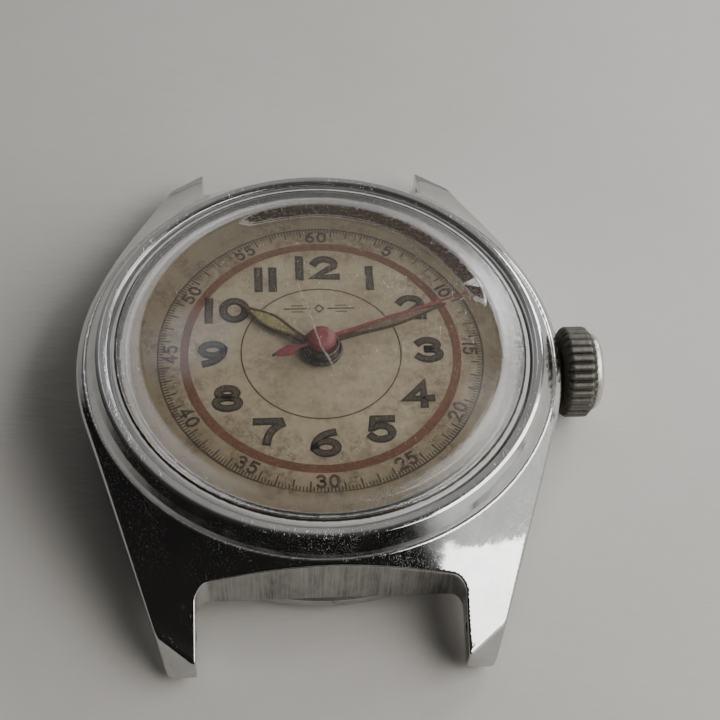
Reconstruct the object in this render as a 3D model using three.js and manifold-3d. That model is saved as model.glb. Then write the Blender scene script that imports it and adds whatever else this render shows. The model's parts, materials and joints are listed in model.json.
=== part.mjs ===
// Centre-seconds mechanical wristwatch head: case, dial, hands and hand-wound movement.
// Millimetres, +Z up. The origin is the centre of the flat resting face of the case back,
// +X runs to the crown at 3 o'clock and +Y to 12 o'clock.
import * as THREE from 'three';
import { mergeVertices } from 'three/addons/utils/BufferGeometryUtils.js';
import Module from 'manifold-3d';

const wasm = await Module();
wasm.setup();

// Case
const CASE_RADIUS = 15.7;
const LUG_TIP_X = 9.75;
const LUG_TIP_Y = 19.55;
const LUG_GAP = 16;
const LUG_WALL_Y = 15.45;
const LUG_CORNER_RADIUS = 0.8;
const LUG_TIP_Z = 0.6;
const CASE_FLOOR_Z = 2.2;
const CASE_LEDGE_Z = 6.6;
const SEAM_RADIUS = 15.05;
const BORE_RADIUS = 13.1;
const REHAUT_RADIUS = 12.6;
const REHAUT_Z = 6.2;
const SPRING_BAR = { y: 17.6, z: 2.35, radius: 0.4, depth: 1 };
const BACK_FACE_RADIUS = 11;
const BACK_RIM_RADIUS = 15.4;
const CRYSTAL_RADIUS = 13.4;
const CRYSTAL_TOP_Z = 9.15;
const RING_SEGMENTS = 40;
const ROD_SEGMENTS = 8;

// Crown, stem and the parts that the stem works
const STEM_Z = 3.5;
const STEM_RADIUS = 0.45;
const CROWN_RADIUS = 3.05;
const CROWN_START_X = 15.9;
const CROWN_END_X = 18.9;
const CROWN_FLUTES = 30;
const TUBE_RADIUS = 0.9;
const LEVER_GROOVE_X = 10.95;
const LEVER_PIVOT = [11.3, -2.4];
const YOKE_GROOVE_X = 7.85;
const YOKE_PIVOT = [7.45, -3.9];

// Dial and hands
const DIAL_RADIUS = 12.75;
const DIAL_Z = [5.75, 6.15];
const HOUR_HAND = { z: [6.4, 6.52], angle: 144.5, reach: 6.2 };
const MINUTE_HAND = { z: [6.95, 7.07], angle: 20.5, reach: 8.9 };
const SECONDS_HAND = { z: [7.4, 7.5], angle: 20.8, reach: 10.6, tail: 3.4 };

// Movement levels, from the back to the dial
const WORKS_Z = [0.95, 1.3];
const BARREL_BRIDGE_Z = [1.4, 2.05];
const TRAIN_BRIDGE_Z = [1.5, 2.1];
const PLATE_Z = [3.3, 4.6];
const PLATE_RADIUS = 12.2;
const LEVER_Z = [4.65, 4.88];

// Arbors in plan: distances are the sums of the pitch radii in mesh
const CENTRE = [0, 0];
const BARREL = from(CENTRE, 5.74, 60);
const THIRD = from(CENTRE, 4.5, -95);
const FOURTH = from(THIRD, 3.825, 215);
const ESCAPE = from(FOURTH, 3.52, 150);
const ESCAPEMENT_ANGLE = 100;
const PALLET = from(ESCAPE, 2.2, ESCAPEMENT_ANGLE);
const BALANCE = from(PALLET, 3, ESCAPEMENT_ANGLE);
const CROWN_WHEEL = [7.213, 0];
const MINUTE_WORKS = from(CENTRE, 2.88, -45);
const SETTING = from(MINUTE_WORKS, 3.24, 12);
const CLICK = [-2.6, 6.6];
const HAIRSPRING_STUD = from(BALANCE, 1.95, 60);
const IMPULSE_JEWEL = from(BALANCE, 0.8, -80);

// Toothed wheels: number of teeth, pitch radius and tooth height either side of it
const GEARS = {
  barrel: { teeth: 72, pitch: 5.04, tooth: 0.13 },
  centrePinion: { teeth: 10, pitch: 0.7, tooth: 0.12 },
  centre: { teeth: 80, pitch: 4, tooth: 0.09 },
  thirdPinion: { teeth: 10, pitch: 0.5, tooth: 0.085 },
  third: { teeth: 75, pitch: 3.375, tooth: 0.08 },
  fourthPinion: { teeth: 10, pitch: 0.45, tooth: 0.075 },
  fourth: { teeth: 80, pitch: 3.2, tooth: 0.07 },
  escapePinion: { teeth: 8, pitch: 0.32, tooth: 0.065 },
  sweep: { teeth: 75, pitch: 3.9706, tooth: 0.09 },
  sweepPinion: { teeth: 10, pitch: 0.5294, tooth: 0.085 },
  cannon: { teeth: 12, pitch: 0.72, tooth: 0.1 },
  minute: { teeth: 36, pitch: 2.16, tooth: 0.1 },
  minutePinion: { teeth: 10, pitch: 0.576, tooth: 0.09 },
  hour: { teeth: 40, pitch: 2.304, tooth: 0.09 },
  setting: { teeth: 18, pitch: 1.08, tooth: 0.1 },
  ratchet: { teeth: 38, pitch: 3.8, tooth: 0.17 },
  crown: { teeth: 28, pitch: 2.8, tooth: 0.17 },
};

// Finishes: colour, roughness and metalness
const FINISHES = {
  chrome: [0xb9bbbd, 0.16, 1],
  steel: [0xa9adb1, 0.3, 1],
  darkSteel: [0x5a5550, 0.45, 1],
  blued: [0x27324f, 0.35, 1],
  nickel: [0xc4bfae, 0.35, 1],
  brass: [0xb58f4a, 0.35, 1],
  gilt: [0xc69b52, 0.3, 1],
  ruby: [0xa3143c, 0.1, 0],
  acrylic: [0xe4e6e2, 0.08, 0],
  rubber: [0x1d1c1b, 0.8, 0],
  dial: [0xb9ad92, 0.6, 0],
  hand: [0x3b2a1c, 0.5, 0.6],
  red: [0x8c2420, 0.5, 0.1],
};

function from(point, distance, degrees) {
  const angle = THREE.MathUtils.degToRad(degrees);
  return [point[0] + distance * Math.cos(angle), point[1] + distance * Math.sin(angle)];
}

function bearing(start, end) {
  return Math.atan2(end[1] - start[1], end[0] - start[0]);
}

// ---- Solids ----

function signedVolume(positions, triangles) {
  let volume = 0;
  for (let i = 0; i < triangles.length; i += 3) {
    const [a, b, c] = [0, 1, 2].map((k) => new THREE.Vector3().fromArray(positions, triangles[i + k] * 3));
    volume += a.dot(b.cross(c));
  }
  return volume;
}

function solid(geometry) {
  const bare = geometry.clone();
  bare.deleteAttribute('normal');
  bare.deleteAttribute('uv');
  const merged = mergeVertices(bare, 1e-5);
  const positions = merged.attributes.position.array;
  const source = merged.index.array;
  const triangles = [];
  for (let i = 0; i < source.length; i += 3) {
    const [a, b, c] = source.slice(i, i + 3);
    if (a !== b && b !== c && c !== a) triangles.push(a, b, c);
  }
  if (signedVolume(positions, triangles) < 0) triangles.reverse();
  const mesh = new wasm.Mesh({
    numProp: 3,
    vertProperties: Float32Array.from(positions),
    triVerts: Uint32Array.from(triangles),
  });
  return new wasm.Manifold(mesh);
}

function geometryOf(body) {
  const mesh = body.getMesh();
  const geometry = new THREE.BufferGeometry();
  geometry.setAttribute('position', new THREE.BufferAttribute(Float32Array.from(mesh.vertProperties), 3));
  geometry.setIndex(new THREE.BufferAttribute(Uint32Array.from(mesh.triVerts), 1));
  return geometry;
}

function join(...bodies) {
  return bodies.reduce((whole, body) => whole.add(body));
}

function cut(body, ...tools) {
  return tools.reduce((whole, tool) => whole.subtract(tool), body);
}

// A turned body: the profile lists [radius, height] from axis to axis, or round a closed ring.
function turned(profile, at = CENTRE, segments = RING_SEGMENTS) {
  const points = profile.map(([radius, height]) => new THREE.Vector2(radius, height));
  const geometry = new THREE.LatheGeometry(points, segments);
  geometry.rotateX(Math.PI / 2);
  geometry.translate(at[0], at[1], 0);
  return solid(geometry);
}

function ring(inner, outer, z, at = CENTRE, segments = RING_SEGMENTS) {
  return turned([[inner, z[0]], [outer, z[0]], [outer, z[1]], [inner, z[1]], [inner, z[0]]], at, segments);
}

function rod(radius, z, at = CENTRE, segments = ROD_SEGMENTS) {
  return turned([[0, z[0]], [radius, z[0]], [radius, z[1]], [0, z[1]]], at, segments);
}

// A body turned about the stem's axis: the profile lists [radius, x].
function turnedOnStem(profile, segments = 12) {
  const points = profile.map(([radius, x]) => new THREE.Vector2(radius, x));
  const geometry = new THREE.LatheGeometry(points, segments);
  geometry.rotateZ(-Math.PI / 2);
  geometry.translate(0, 0, STEM_Z);
  return solid(geometry);
}

function stemRod(radius, x, segments = 12) {
  return turnedOnStem([[0, x[0]], [radius, x[0]], [radius, x[1]], [0, x[1]]], segments);
}

function plate(shape, z, curveSegments = 8) {
  const options = { depth: z[1] - z[0], bevelEnabled: false, curveSegments };
  const geometry = new THREE.ExtrudeGeometry(shape, options);
  geometry.translate(0, 0, z[0]);
  return solid(geometry);
}

function block(x, y, z) {
  const geometry = new THREE.BoxGeometry(x[1] - x[0], y[1] - y[0], z[1] - z[0]);
  geometry.translate((x[0] + x[1]) / 2, (y[0] + y[1]) / 2, (z[0] + z[1]) / 2);
  return solid(geometry);
}

function polygon(points) {
  return new THREE.Shape(points.map(([x, y]) => new THREE.Vector2(x, y)));
}

// A bar with round ends between two points in plan.
function bar(start, end, startRadius, endRadius, z) {
  const angle = bearing(start, end);
  const shape = new THREE.Shape();
  shape.absarc(start[0], start[1], startRadius, angle + Math.PI / 2, angle + 1.5 * Math.PI, false);
  shape.absarc(end[0], end[1], endRadius, angle - Math.PI / 2, angle + Math.PI / 2, false);
  shape.closePath();
  return plate(shape, z, 2);
}

// ---- Toothed wheels ----

function pitchAngle(gear) {
  return (2 * Math.PI) / gear.teeth;
}

// Tooth phase that puts the gear at "to" in mesh with the gear at "start".
function meshPhase(gear, phase, start, to, partner) {
  const line = bearing(start, to);
  const past = ((line - phase) / pitchAngle(gear)) % 1;
  return line + Math.PI + (past + 0.5) * pitchAngle(partner);
}

// Wheels have fine pointed teeth and pinions have flat-topped leaves.
function toothedShape(gear, phase, at) {
  const tip = gear.pitch + gear.tooth;
  const root = gear.pitch - gear.tooth;
  const isPinion = gear.teeth <= 20;
  const corners = isPinion
    ? [[root, -0.3], [tip, -0.1], [tip, 0.1], [root, 0.3]]
    : [[root, -0.5], [tip, 0]];
  const points = [];
  for (let tooth = 0; tooth < gear.teeth; tooth += 1) {
    for (const [radius, share] of corners) {
      const angle = phase + (tooth + share) * pitchAngle(gear);
      points.push([at[0] + radius * Math.cos(angle), at[1] + radius * Math.sin(angle)]);
    }
  }
  return polygon(points);
}

// Windows between the spokes of a wheel.
function crossings(shape, at, inner, outer, spokes) {
  const half = Math.PI / spokes;
  for (let spoke = 0; spoke < spokes; spoke += 1) {
    const middle = (2 * Math.PI * (spoke + 0.5)) / spokes;
    const window = new THREE.Path();
    window.absarc(at[0], at[1], outer, middle - half * 0.86, middle + half * 0.86, false);
    window.absarc(at[0], at[1], inner, middle + half * 0.62, middle - half * 0.62, true);
    window.closePath();
    shape.holes.push(window);
  }
}

function wheel(gear, phase, at, z, spokes = 0, hub = 0.9) {
  const shape = toothedShape(gear, phase, at);
  if (spokes > 0) crossings(shape, at, hub, gear.pitch - gear.tooth - 0.45, spokes);
  return plate(shape, z, 1);
}

const phases = { centre: 0, third: 0, fourth: 0, barrel: 0, sweep: 0, cannon: 0, minutePinion: 0, crown: 0 };
phases.thirdPinion = meshPhase(GEARS.centre, phases.centre, CENTRE, THIRD, GEARS.thirdPinion);
phases.fourthPinion = meshPhase(GEARS.third, phases.third, THIRD, FOURTH, GEARS.fourthPinion);
phases.escapePinion = meshPhase(GEARS.fourth, phases.fourth, FOURTH, ESCAPE, GEARS.escapePinion);
phases.centrePinion = meshPhase(GEARS.barrel, phases.barrel, BARREL, CENTRE, GEARS.centrePinion);
phases.sweepPinion = meshPhase(GEARS.sweep, phases.sweep, THIRD, CENTRE, GEARS.sweepPinion);
phases.minute = meshPhase(GEARS.cannon, phases.cannon, CENTRE, MINUTE_WORKS, GEARS.minute);
phases.setting = meshPhase(GEARS.minute, phases.minute, MINUTE_WORKS, SETTING, GEARS.setting);
phases.hour = meshPhase(GEARS.minutePinion, phases.minutePinion, MINUTE_WORKS, CENTRE, GEARS.hour);
phases.ratchet = meshPhase(GEARS.crown, phases.crown, CROWN_WHEEL, BARREL, GEARS.ratchet);

// ---- Case ----

function caseOutline() {
  const reach = Math.hypot(LUG_TIP_X, LUG_TIP_Y);
  const tangent = Math.atan2(LUG_TIP_Y, LUG_TIP_X) - Math.acos(CASE_RADIUS / reach);
  const shape = new THREE.Shape();
  shape.moveTo(-LUG_TIP_X, -LUG_TIP_Y);
  shape.lineTo(LUG_TIP_X, -LUG_TIP_Y);
  shape.absarc(0, 0, CASE_RADIUS, -tangent, tangent, false);
  shape.lineTo(LUG_TIP_X, LUG_TIP_Y);
  shape.lineTo(-LUG_TIP_X, LUG_TIP_Y);
  shape.absarc(0, 0, CASE_RADIUS, Math.PI - tangent, Math.PI + tangent, false);
  shape.closePath();
  return shape;
}

// The lugs' underside falls from the case floor to the tips.
function caseSideProfile() {
  const top = CASE_LEDGE_Z + 1;
  const corners = [
    [-LUG_TIP_Y, LUG_TIP_Z], [-LUG_WALL_Y, CASE_FLOOR_Z], [LUG_WALL_Y, CASE_FLOOR_Z],
    [LUG_TIP_Y, LUG_TIP_Z], [LUG_TIP_Y, top], [-LUG_TIP_Y, top],
  ];
  const half = CASE_RADIUS + 1;
  const geometry = new THREE.ExtrudeGeometry(polygon(corners), { depth: 2 * half, bevelEnabled: false });
  geometry.translate(0, 0, -half);
  const axes = [new THREE.Vector3(0, 1, 0), new THREE.Vector3(0, 0, 1), new THREE.Vector3(1, 0, 0)];
  geometry.applyMatrix4(new THREE.Matrix4().makeBasis(...axes));
  return solid(geometry);
}

function caseTop() {
  return turned([
    [0, 0], [22.6, 0], [22.6, 2.3], [21.4, 2.65], [19.3, 3.5], [17.3, 4.65],
    [15.5, 6.3], [15.25, 6.55], [SEAM_RADIUS, CASE_LEDGE_Z], [0, CASE_LEDGE_Z],
  ]);
}

function lugGap(side) {
  const half = LUG_GAP / 2;
  const shape = new THREE.Shape();
  shape.moveTo(-half, 21);
  shape.lineTo(-half, LUG_WALL_Y + LUG_CORNER_RADIUS);
  shape.absarc(-half + LUG_CORNER_RADIUS, LUG_WALL_Y + LUG_CORNER_RADIUS, LUG_CORNER_RADIUS,
    Math.PI, 1.5 * Math.PI, false);
  shape.absarc(half - LUG_CORNER_RADIUS, LUG_WALL_Y + LUG_CORNER_RADIUS, LUG_CORNER_RADIUS,
    -Math.PI / 2, 0, false);
  shape.lineTo(half, 21);
  shape.closePath();
  const geometry = new THREE.ExtrudeGeometry(shape, { depth: 9, bevelEnabled: false, curveSegments: 4 });
  geometry.translate(0, 0, -1);
  if (side < 0) geometry.rotateZ(Math.PI);
  return solid(geometry);
}

// A block lying on the facet that cuts the outer top corner of one lug tip.
function lugFacet(sideX, sideY) {
  const corners = [[8, 19.55, 2.6], [10, 18.2, 2.4], [9.68, 19.55, 0.6]];
  const [a, b, c] = corners.map(([x, y, z]) => new THREE.Vector3(sideX * x, sideY * y, z));
  const normal = b.clone().sub(a).cross(c.clone().sub(a)).normalize();
  if (normal.x * sideX < 0) normal.negate();
  const size = 8;
  const geometry = new THREE.BoxGeometry(size, size, size);
  geometry.translate(0, 0, size / 2);
  geometry.applyQuaternion(new THREE.Quaternion().setFromUnitVectors(new THREE.Vector3(0, 0, 1), normal));
  geometry.translate(a.x, a.y, a.z);
  return solid(geometry);
}

function midCase() {
  const bore = turned([
    [0, 1], [13.75, 1], [13.75, 2.65], [BORE_RADIUS, 2.65], [BORE_RADIUS, REHAUT_Z],
    [REHAUT_RADIUS, REHAUT_Z], [REHAUT_RADIUS, 8], [0, 8],
  ]);
  let body = plate(caseOutline(), [0, 8], 6).intersect(caseSideProfile()).intersect(caseTop());
  body = cut(body, bore, lugGap(1), lugGap(-1), stemRod(TUBE_RADIUS + 0.03, [12, 17]));
  for (const sideY of [-1, 1]) {
    const reach = LUG_GAP / 2 + SPRING_BAR.depth;
    const drill = new THREE.CylinderGeometry(SPRING_BAR.radius, SPRING_BAR.radius, 2 * reach, 12);
    drill.rotateZ(Math.PI / 2);
    drill.translate(0, sideY * SPRING_BAR.y, SPRING_BAR.z);
    body = cut(body, solid(drill), lugFacet(-1, sideY), lugFacet(1, sideY));
  }
  return body;
}

function bezel() {
  return turned([
    [13.45, CASE_LEDGE_Z], [SEAM_RADIUS, CASE_LEDGE_Z], [15, 6.8], [14.8, 7.05], [14.55, 7.33],
    [14.15, 7.72], [13.9, 7.72], [13.6, 7.64], [13.5, 7.5], [13.45, 7.3], [13.45, CASE_LEDGE_Z],
  ]);
}

function crystal() {
  return turned([
    [0, CRYSTAL_TOP_Z], [5, 8.97], [9.5, 8.42], [11.6, 8.02], [13.1, 7.66], [CRYSTAL_RADIUS, 7.3],
    [CRYSTAL_RADIUS, CASE_LEDGE_Z], [12.5, CASE_LEDGE_Z], [12.4, 7.1], [12.05, 7.4], [11.4, 7.6],
    [9.2, 7.98], [5, 8.4], [0, 8.55],
  ]);
}

function caseBack() {
  return turned([
    [0, 0], [BACK_FACE_RADIUS, 0], [13.3, 0.12], [14.7, 0.4], [BACK_RIM_RADIUS, 0.95],
    [BACK_RIM_RADIUS, 1.6], [14.95, CASE_FLOOR_Z], [13, CASE_FLOOR_Z], [13, 3], [12.6, 3],
    [12.6, 1.1], [11.6, 0.7], [0, 0.7],
  ]);
}

// ---- Crown and stem ----

function crown() {
  const flutes = [];
  for (let flute = 0; flute < CROWN_FLUTES; flute += 1) {
    for (const [radius, share] of [[2.85, -0.5], [CROWN_RADIUS, -0.24], [CROWN_RADIUS, 0.24]]) {
      const angle = ((flute + share) * 2 * Math.PI) / CROWN_FLUTES;
      flutes.push([radius * Math.cos(angle), radius * Math.sin(angle)]);
    }
  }
  const depth = CROWN_END_X - CROWN_START_X + 0.1;
  const prism = new THREE.ExtrudeGeometry(polygon(flutes), { depth, bevelEnabled: false });
  prism.rotateY(Math.PI / 2);
  prism.translate(CROWN_START_X - 0.05, 0, STEM_Z);
  const envelope = turnedOnStem([
    [0, CROWN_START_X], [2.45, CROWN_START_X], [3.07, 16.3], [3.07, 17.75], [2.6, 18.1],
    [2.5, 18.35], [2.3, 18.6], [1.6, 18.8], [0, CROWN_END_X],
  ], 30);
  const mouth = stemRod(1.05, [15.5, 17.1]);
  const thread = stemRod(STEM_RADIUS + 0.03, [16, 18.25]);
  return cut(solid(prism).intersect(envelope), mouth, thread);
}

function windingStem() {
  const square = block([6.4, 9.1], [-0.3, 0.3], [STEM_Z - 0.3, STEM_Z + 0.3]);
  const pilot = stemRod(0.27, [5, 6.5]);
  const body = turnedOnStem([
    [0, 9.08], [0.42, 9.08], [0.42, 10.7], [0.25, 10.7], [0.25, 11.2], [STEM_RADIUS, 11.2],
    [STEM_RADIUS, 18.2], [0, 18.2],
  ], 16);
  return join(square, pilot, body);
}

function crownTube() {
  return cut(stemRod(TUBE_RADIUS, [13.3, 16.95]), stemRod(0.55, [13, 17.2]));
}

// Straight leaves round the stem, made as a prism turned onto the stem's axis.
function stemPinion(teeth, root, tip, x) {
  const shape = toothedShape({ teeth, pitch: (root + tip) / 2, tooth: (tip - root) / 2 }, 0, CENTRE);
  const geometry = new THREE.ExtrudeGeometry(shape, { depth: x[1] - x[0], bevelEnabled: false });
  geometry.rotateY(Math.PI / 2);
  geometry.translate(x[0], 0, STEM_Z);
  return solid(geometry);
}

function windingPinion() {
  const leaves = stemPinion(15, 1.45, 1.75, [9.75, 10.25]);
  const sleeve = stemRod(1.1, [9.1, 10.55]);
  return cut(join(leaves, sleeve), stemRod(0.47, [9, 10.7], 16));
}

function slidingPinion() {
  const leaves = stemPinion(14, 0.85, 1.05, [6.85, 7.3]);
  const body = turnedOnStem([
    [0, 7.2], [0.98, 7.2], [0.98, 7.6], [0.62, 7.6], [0.62, 8.1], [1.05, 8.1], [1.05, 9.02], [0, 9.02],
  ]);
  const square = block([6, 9.5], [-0.34, 0.34], [STEM_Z - 0.34, STEM_Z + 0.34]);
  return cut(join(leaves, body), square);
}

function settingLever() {
  const pin = rod(0.2, [3.85, LEVER_Z[1]], [LEVER_GROOVE_X, 0]);
  const arm = bar(LEVER_PIVOT, [LEVER_GROOVE_X, 0], 0.5, 0.32, LEVER_Z);
  const beak = bar(LEVER_PIVOT, [9.6, -3], 0.45, 0.2, LEVER_Z);
  return cut(join(arm, beak, pin), rod(0.24, [4, 5.5], LEVER_PIVOT));
}

function yoke() {
  const finger = rod(0.2, [4.22, LEVER_Z[1]], [YOKE_GROOVE_X, 0]);
  const arm = bar(YOKE_PIVOT, [YOKE_GROOVE_X, 0], 0.5, 0.25, LEVER_Z);
  const tail = bar(YOKE_PIVOT, [8.9, -4.4], 0.4, 0.2, LEVER_Z);
  return cut(join(arm, tail, finger), rod(0.24, [4, 5.5], YOKE_PIVOT));
}

// ---- Plate and bridges ----

const BARREL_BRIDGE_FEET = [[8.9, 5.9], [-3.3, 9.6], [9.9, -4.2]];
const TRAIN_BRIDGE_FEET = [[1.8, -9.6], [-8.3, -7.1]];
const COCK_FOOT = [-6.6, 7.6];
const PALLET_BRIDGE_FEET = [from(PALLET, 2.4, 10), from(PALLET, 2.4, 190)];
const SCREW_RADIUS = 0.4;
const SCREW_HEAD_RADIUS = 0.72;

function mainPlate() {
  let body = rod(PLATE_RADIUS, PLATE_Z, CENTRE, RING_SEGMENTS);
  const pivots = [
    [THIRD, 0.2], [FOURTH, 0.2], [ESCAPE, 0.18], [PALLET, 0.18], [CENTRE, 0.5], [BARREL, 0.64],
  ];
  for (const [at, radius] of pivots) body = cut(body, rod(radius, [3, 5], at));
  for (const at of [...BARREL_BRIDGE_FEET, ...TRAIN_BRIDGE_FEET, COCK_FOOT]) {
    body = cut(body, rod(SCREW_RADIUS + 0.05, [3, 5], at));
  }
  body = cut(body,
    rod(4.85, [3, 4.35], BARREL, 24),
    rod(0.68, [3, 5], BALANCE),
    block([5.8, 9.05], [-1.2, 1.2], [3, 5]),
    block([8.95, 10.7], [-1.95, 1.95], [3, 5]),
    block([10.3, 11.9], [-0.4, 0.4], [STEM_Z, 5]),
    stemRod(0.33, [4.8, 6.5]),
    stemRod(0.52, [10.5, 13], 16),
    rod(1.35, [4.4, 5], SETTING, 16));
  return join(body,
    rod(0.25, [4.5, 5.55], MINUTE_WORKS),
    rod(0.25, [4.3, 5.1], SETTING),
    rod(0.2, [4.5, 5], LEVER_PIVOT),
    rod(0.2, [4.5, 5], YOKE_PIVOT));
}

function barrelBridge() {
  const shape = new THREE.Shape();
  shape.absarc(0, 0, 11.8, THREE.MathUtils.degToRad(-28), THREE.MathUtils.degToRad(112), false);
  for (const [x, y] of [[-4.2, 6], [-1.6, 2.6], [1.2, 2], [2.6, 0.4], [3.4, -2.9]]) shape.lineTo(x, y);
  shape.closePath();
  let body = plate(shape, BARREL_BRIDGE_Z, 12);
  for (const at of BARREL_BRIDGE_FEET) body = body.add(rod(0.85, [1.9, PLATE_Z[0]], at));
  for (const at of BARREL_BRIDGE_FEET) body = cut(body, rod(SCREW_RADIUS + 0.05, [1, 4], at));
  const pocket = ring(0.85, 3.1, [1, 1.85], CROWN_WHEEL, 20);
  const window = block([9, 10.75], [-1.5, 1.5], [1, 3]);
  return cut(body, pocket, window, rod(0.78, [1, 3], BARREL), rod(0.3, [1, 3], CLICK));
}

function trainBridge() {
  const spans = [
    [CENTRE, THIRD, 1.25, 0.9], [THIRD, FOURTH, 0.9, 0.85], [FOURTH, ESCAPE, 0.8, 0.6],
    [THIRD, TRAIN_BRIDGE_FEET[0], 0.9, 0.9], [ESCAPE, TRAIN_BRIDGE_FEET[1], 0.6, 0.75],
  ];
  let body = join(...spans.map(([start, end, a, b]) => bar(start, end, a, b, TRAIN_BRIDGE_Z)));
  body = join(body,
    rod(0.9, [1.9, PLATE_Z[0]], TRAIN_BRIDGE_FEET[0]),
    rod(0.75, [1.9, PLATE_Z[0]], TRAIN_BRIDGE_FEET[1]));
  for (const at of TRAIN_BRIDGE_FEET) body = cut(body, rod(SCREW_RADIUS + 0.05, [1, 4], at));
  const pivots = [[CENTRE, 0.5], [THIRD, 0.22], [FOURTH, 0.2], [ESCAPE, 0.18]];
  return cut(body, ...pivots.map(([at, radius]) => rod(radius, [1, 3], at)));
}

function balanceCock() {
  const arm = bar(COCK_FOOT, BALANCE, 1.5, 1.15, [1, 1.4]);
  const foot = rod(1.5, [1.2, PLATE_Z[0]], COCK_FOOT);
  const stud = rod(0.18, [1.3, 1.66], HAIRSPRING_STUD, 12);
  const studArm = bar(BALANCE, HAIRSPRING_STUD, 0.5, 0.3, [1, 1.4]);
  const screwHole = rod(SCREW_RADIUS + 0.05, [0.5, 4], COCK_FOOT);
  return cut(join(arm, studArm, foot, stud), rod(0.68, [0.5, 1.5], BALANCE), screwHole);
}

function palletBridge() {
  const bridge = bar(PALLET_BRIDGE_FEET[0], PALLET_BRIDGE_FEET[1], 0.55, 0.55, [2.18, 2.38]);
  const feet = PALLET_BRIDGE_FEET.map((at) => rod(0.45, [2.2, PLATE_Z[0]], at));
  return cut(join(bridge, ...feet), rod(0.18, [2, 3], PALLET));
}

function regulator() {
  const loop = rod(1, [0.86, 0.97], BALANCE, 12);
  const pointer = bar(BALANCE, from(BALANCE, 3.2, 40), 0.35, 0.12, [0.86, 0.97]);
  return cut(join(loop, pointer), rod(0.68, [0.5, 1.2], BALANCE));
}

// A slotted cheese-head screw whose head is on the back.
function screw(at, headZ, endZ) {
  const head = rod(SCREW_HEAD_RADIUS, headZ, at, 12);
  const shank = rod(SCREW_RADIUS, [headZ[0], endZ], at);
  const slot = block([at[0] - 1, at[0] + 1], [at[1] - 0.08, at[1] + 0.08], [0, headZ[0] + 0.14]);
  return cut(join(head, shank), slot);
}

// ---- Going train ----

function arbor(at, steps) {
  return join(...steps.map(([radius, start, end]) => rod(radius, [start, end], at)));
}

function barrelDrum() {
  const toothed = wheel(GEARS.barrel, phases.barrel, BARREL, [2.75, 3.05]);
  const wall = ring(4.45, 4.7, [2.9, 4.25], BARREL, 24);
  return cut(join(toothed, wall), rod(0.75, [2.5, 3.5], BARREL));
}

function barrelArbor() {
  return join(
    rod(0.7, [1.32, 2.7], BARREL),
    rod(1.1, [3.1, 4], BARREL),
    rod(0.55, [0.98, 4.55], BARREL));
}

// A flat spiral strip between two radii, as two offset curves.
function spiral(at, inner, outer, thickness, turns, z, stepsPerTurn) {
  const steps = turns * stepsPerTurn;
  const side = (offset) => Array.from({ length: steps + 1 }, (_, i) => {
    const radius = inner + ((outer - inner) * i) / steps + offset;
    return from(at, radius, (360 * i) / stepsPerTurn);
  });
  return plate(polygon([...side(thickness / 2), ...side(-thickness / 2).reverse()]), z);
}

function centreWheel() {
  const rim = wheel(GEARS.centre, phases.centre, CENTRE, [2.2, 2.4], 5);
  const pinion = wheel(GEARS.centrePinion, phases.centrePinion, CENTRE, [2.35, 3.2]);
  return cut(join(rim, pinion, rod(0.42, [1.45, 6.2])), rod(0.25, [1, 7]));
}

function thirdWheel() {
  const rim = wheel(GEARS.third, phases.third, THIRD, [2.62, 2.8], 4, 0.75);
  const pinion = wheel(GEARS.thirdPinion, phases.thirdPinion, THIRD, [2.13, 2.65]);
  return join(rim, pinion, arbor(THIRD, [[0.15, 0.98, 4.2], [0.25, 2.12, 3.25]]));
}

function sweepDrivingWheel() {
  const rim = wheel(GEARS.sweep, phases.sweep, THIRD, [1.05, 1.22], 4, 0.75);
  return cut(join(rim, rod(0.4, [1.05, 1.4], THIRD)), rod(0.17, [0.5, 2], THIRD));
}

function fourthWheel() {
  const rim = wheel(GEARS.fourth, phases.fourth, FOURTH, [2.98, 3.14], 4, 0.7);
  const pinion = wheel(GEARS.fourthPinion, phases.fourthPinion, FOURTH, [2.5, 3]);
  return join(rim, pinion, arbor(FOURTH, [[0.12, 1.55, 4.1], [0.22, 2.15, 3.25]]));
}

// Turns the teeth, not the pinion, so that both pallet stones stand between teeth at rest.
const ESCAPE_TOOTH_ANGLE = -14;

function escapeWheel() {
  const teeth = 15;
  const tip = 1.9;
  const points = [];
  for (let tooth = 0; tooth < teeth; tooth += 1) {
    for (const [radius, share] of [[1.45, 0], [tip - 0.08, 0.14], [tip, 0.34], [1.5, 0.3]]) {
      points.push(from(ESCAPE, radius, ESCAPE_TOOTH_ANGLE + (360 * (tooth + share)) / teeth));
    }
  }
  const shape = polygon(points);
  crossings(shape, ESCAPE, 0.5, 1.15, 4);
  const pinion = wheel(GEARS.escapePinion, phases.escapePinion, ESCAPE, [2.62, 3.24]);
  return join(plate(shape, [2.5, 2.65], 1), pinion, arbor(ESCAPE, [[0.1, 1.55, 4], [0.2, 2.15, 3.25]]));
}

function sweepPinion() {
  const pinion = wheel(GEARS.sweepPinion, phases.sweepPinion, CENTRE, [1, 1.3]);
  return join(pinion, rod(0.17, [0.98, 7.3], CENTRE));
}

// ---- Escapement and balance ----

const STONE_ANGLE = 30;
const STONE_DRAW = 12;
const FORK_Z = [2.45, 2.65];

function palletStone(side) {
  const angle = ESCAPEMENT_ANGLE + side * STONE_ANGLE;
  const centre = from(ESCAPE, 2.02, angle);
  const geometry = new THREE.BoxGeometry(0.5, 0.2, 0.28);
  geometry.rotateZ(THREE.MathUtils.degToRad(angle + side * STONE_DRAW));
  geometry.translate(centre[0], centre[1], 2.56);
  return solid(geometry);
}

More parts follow.
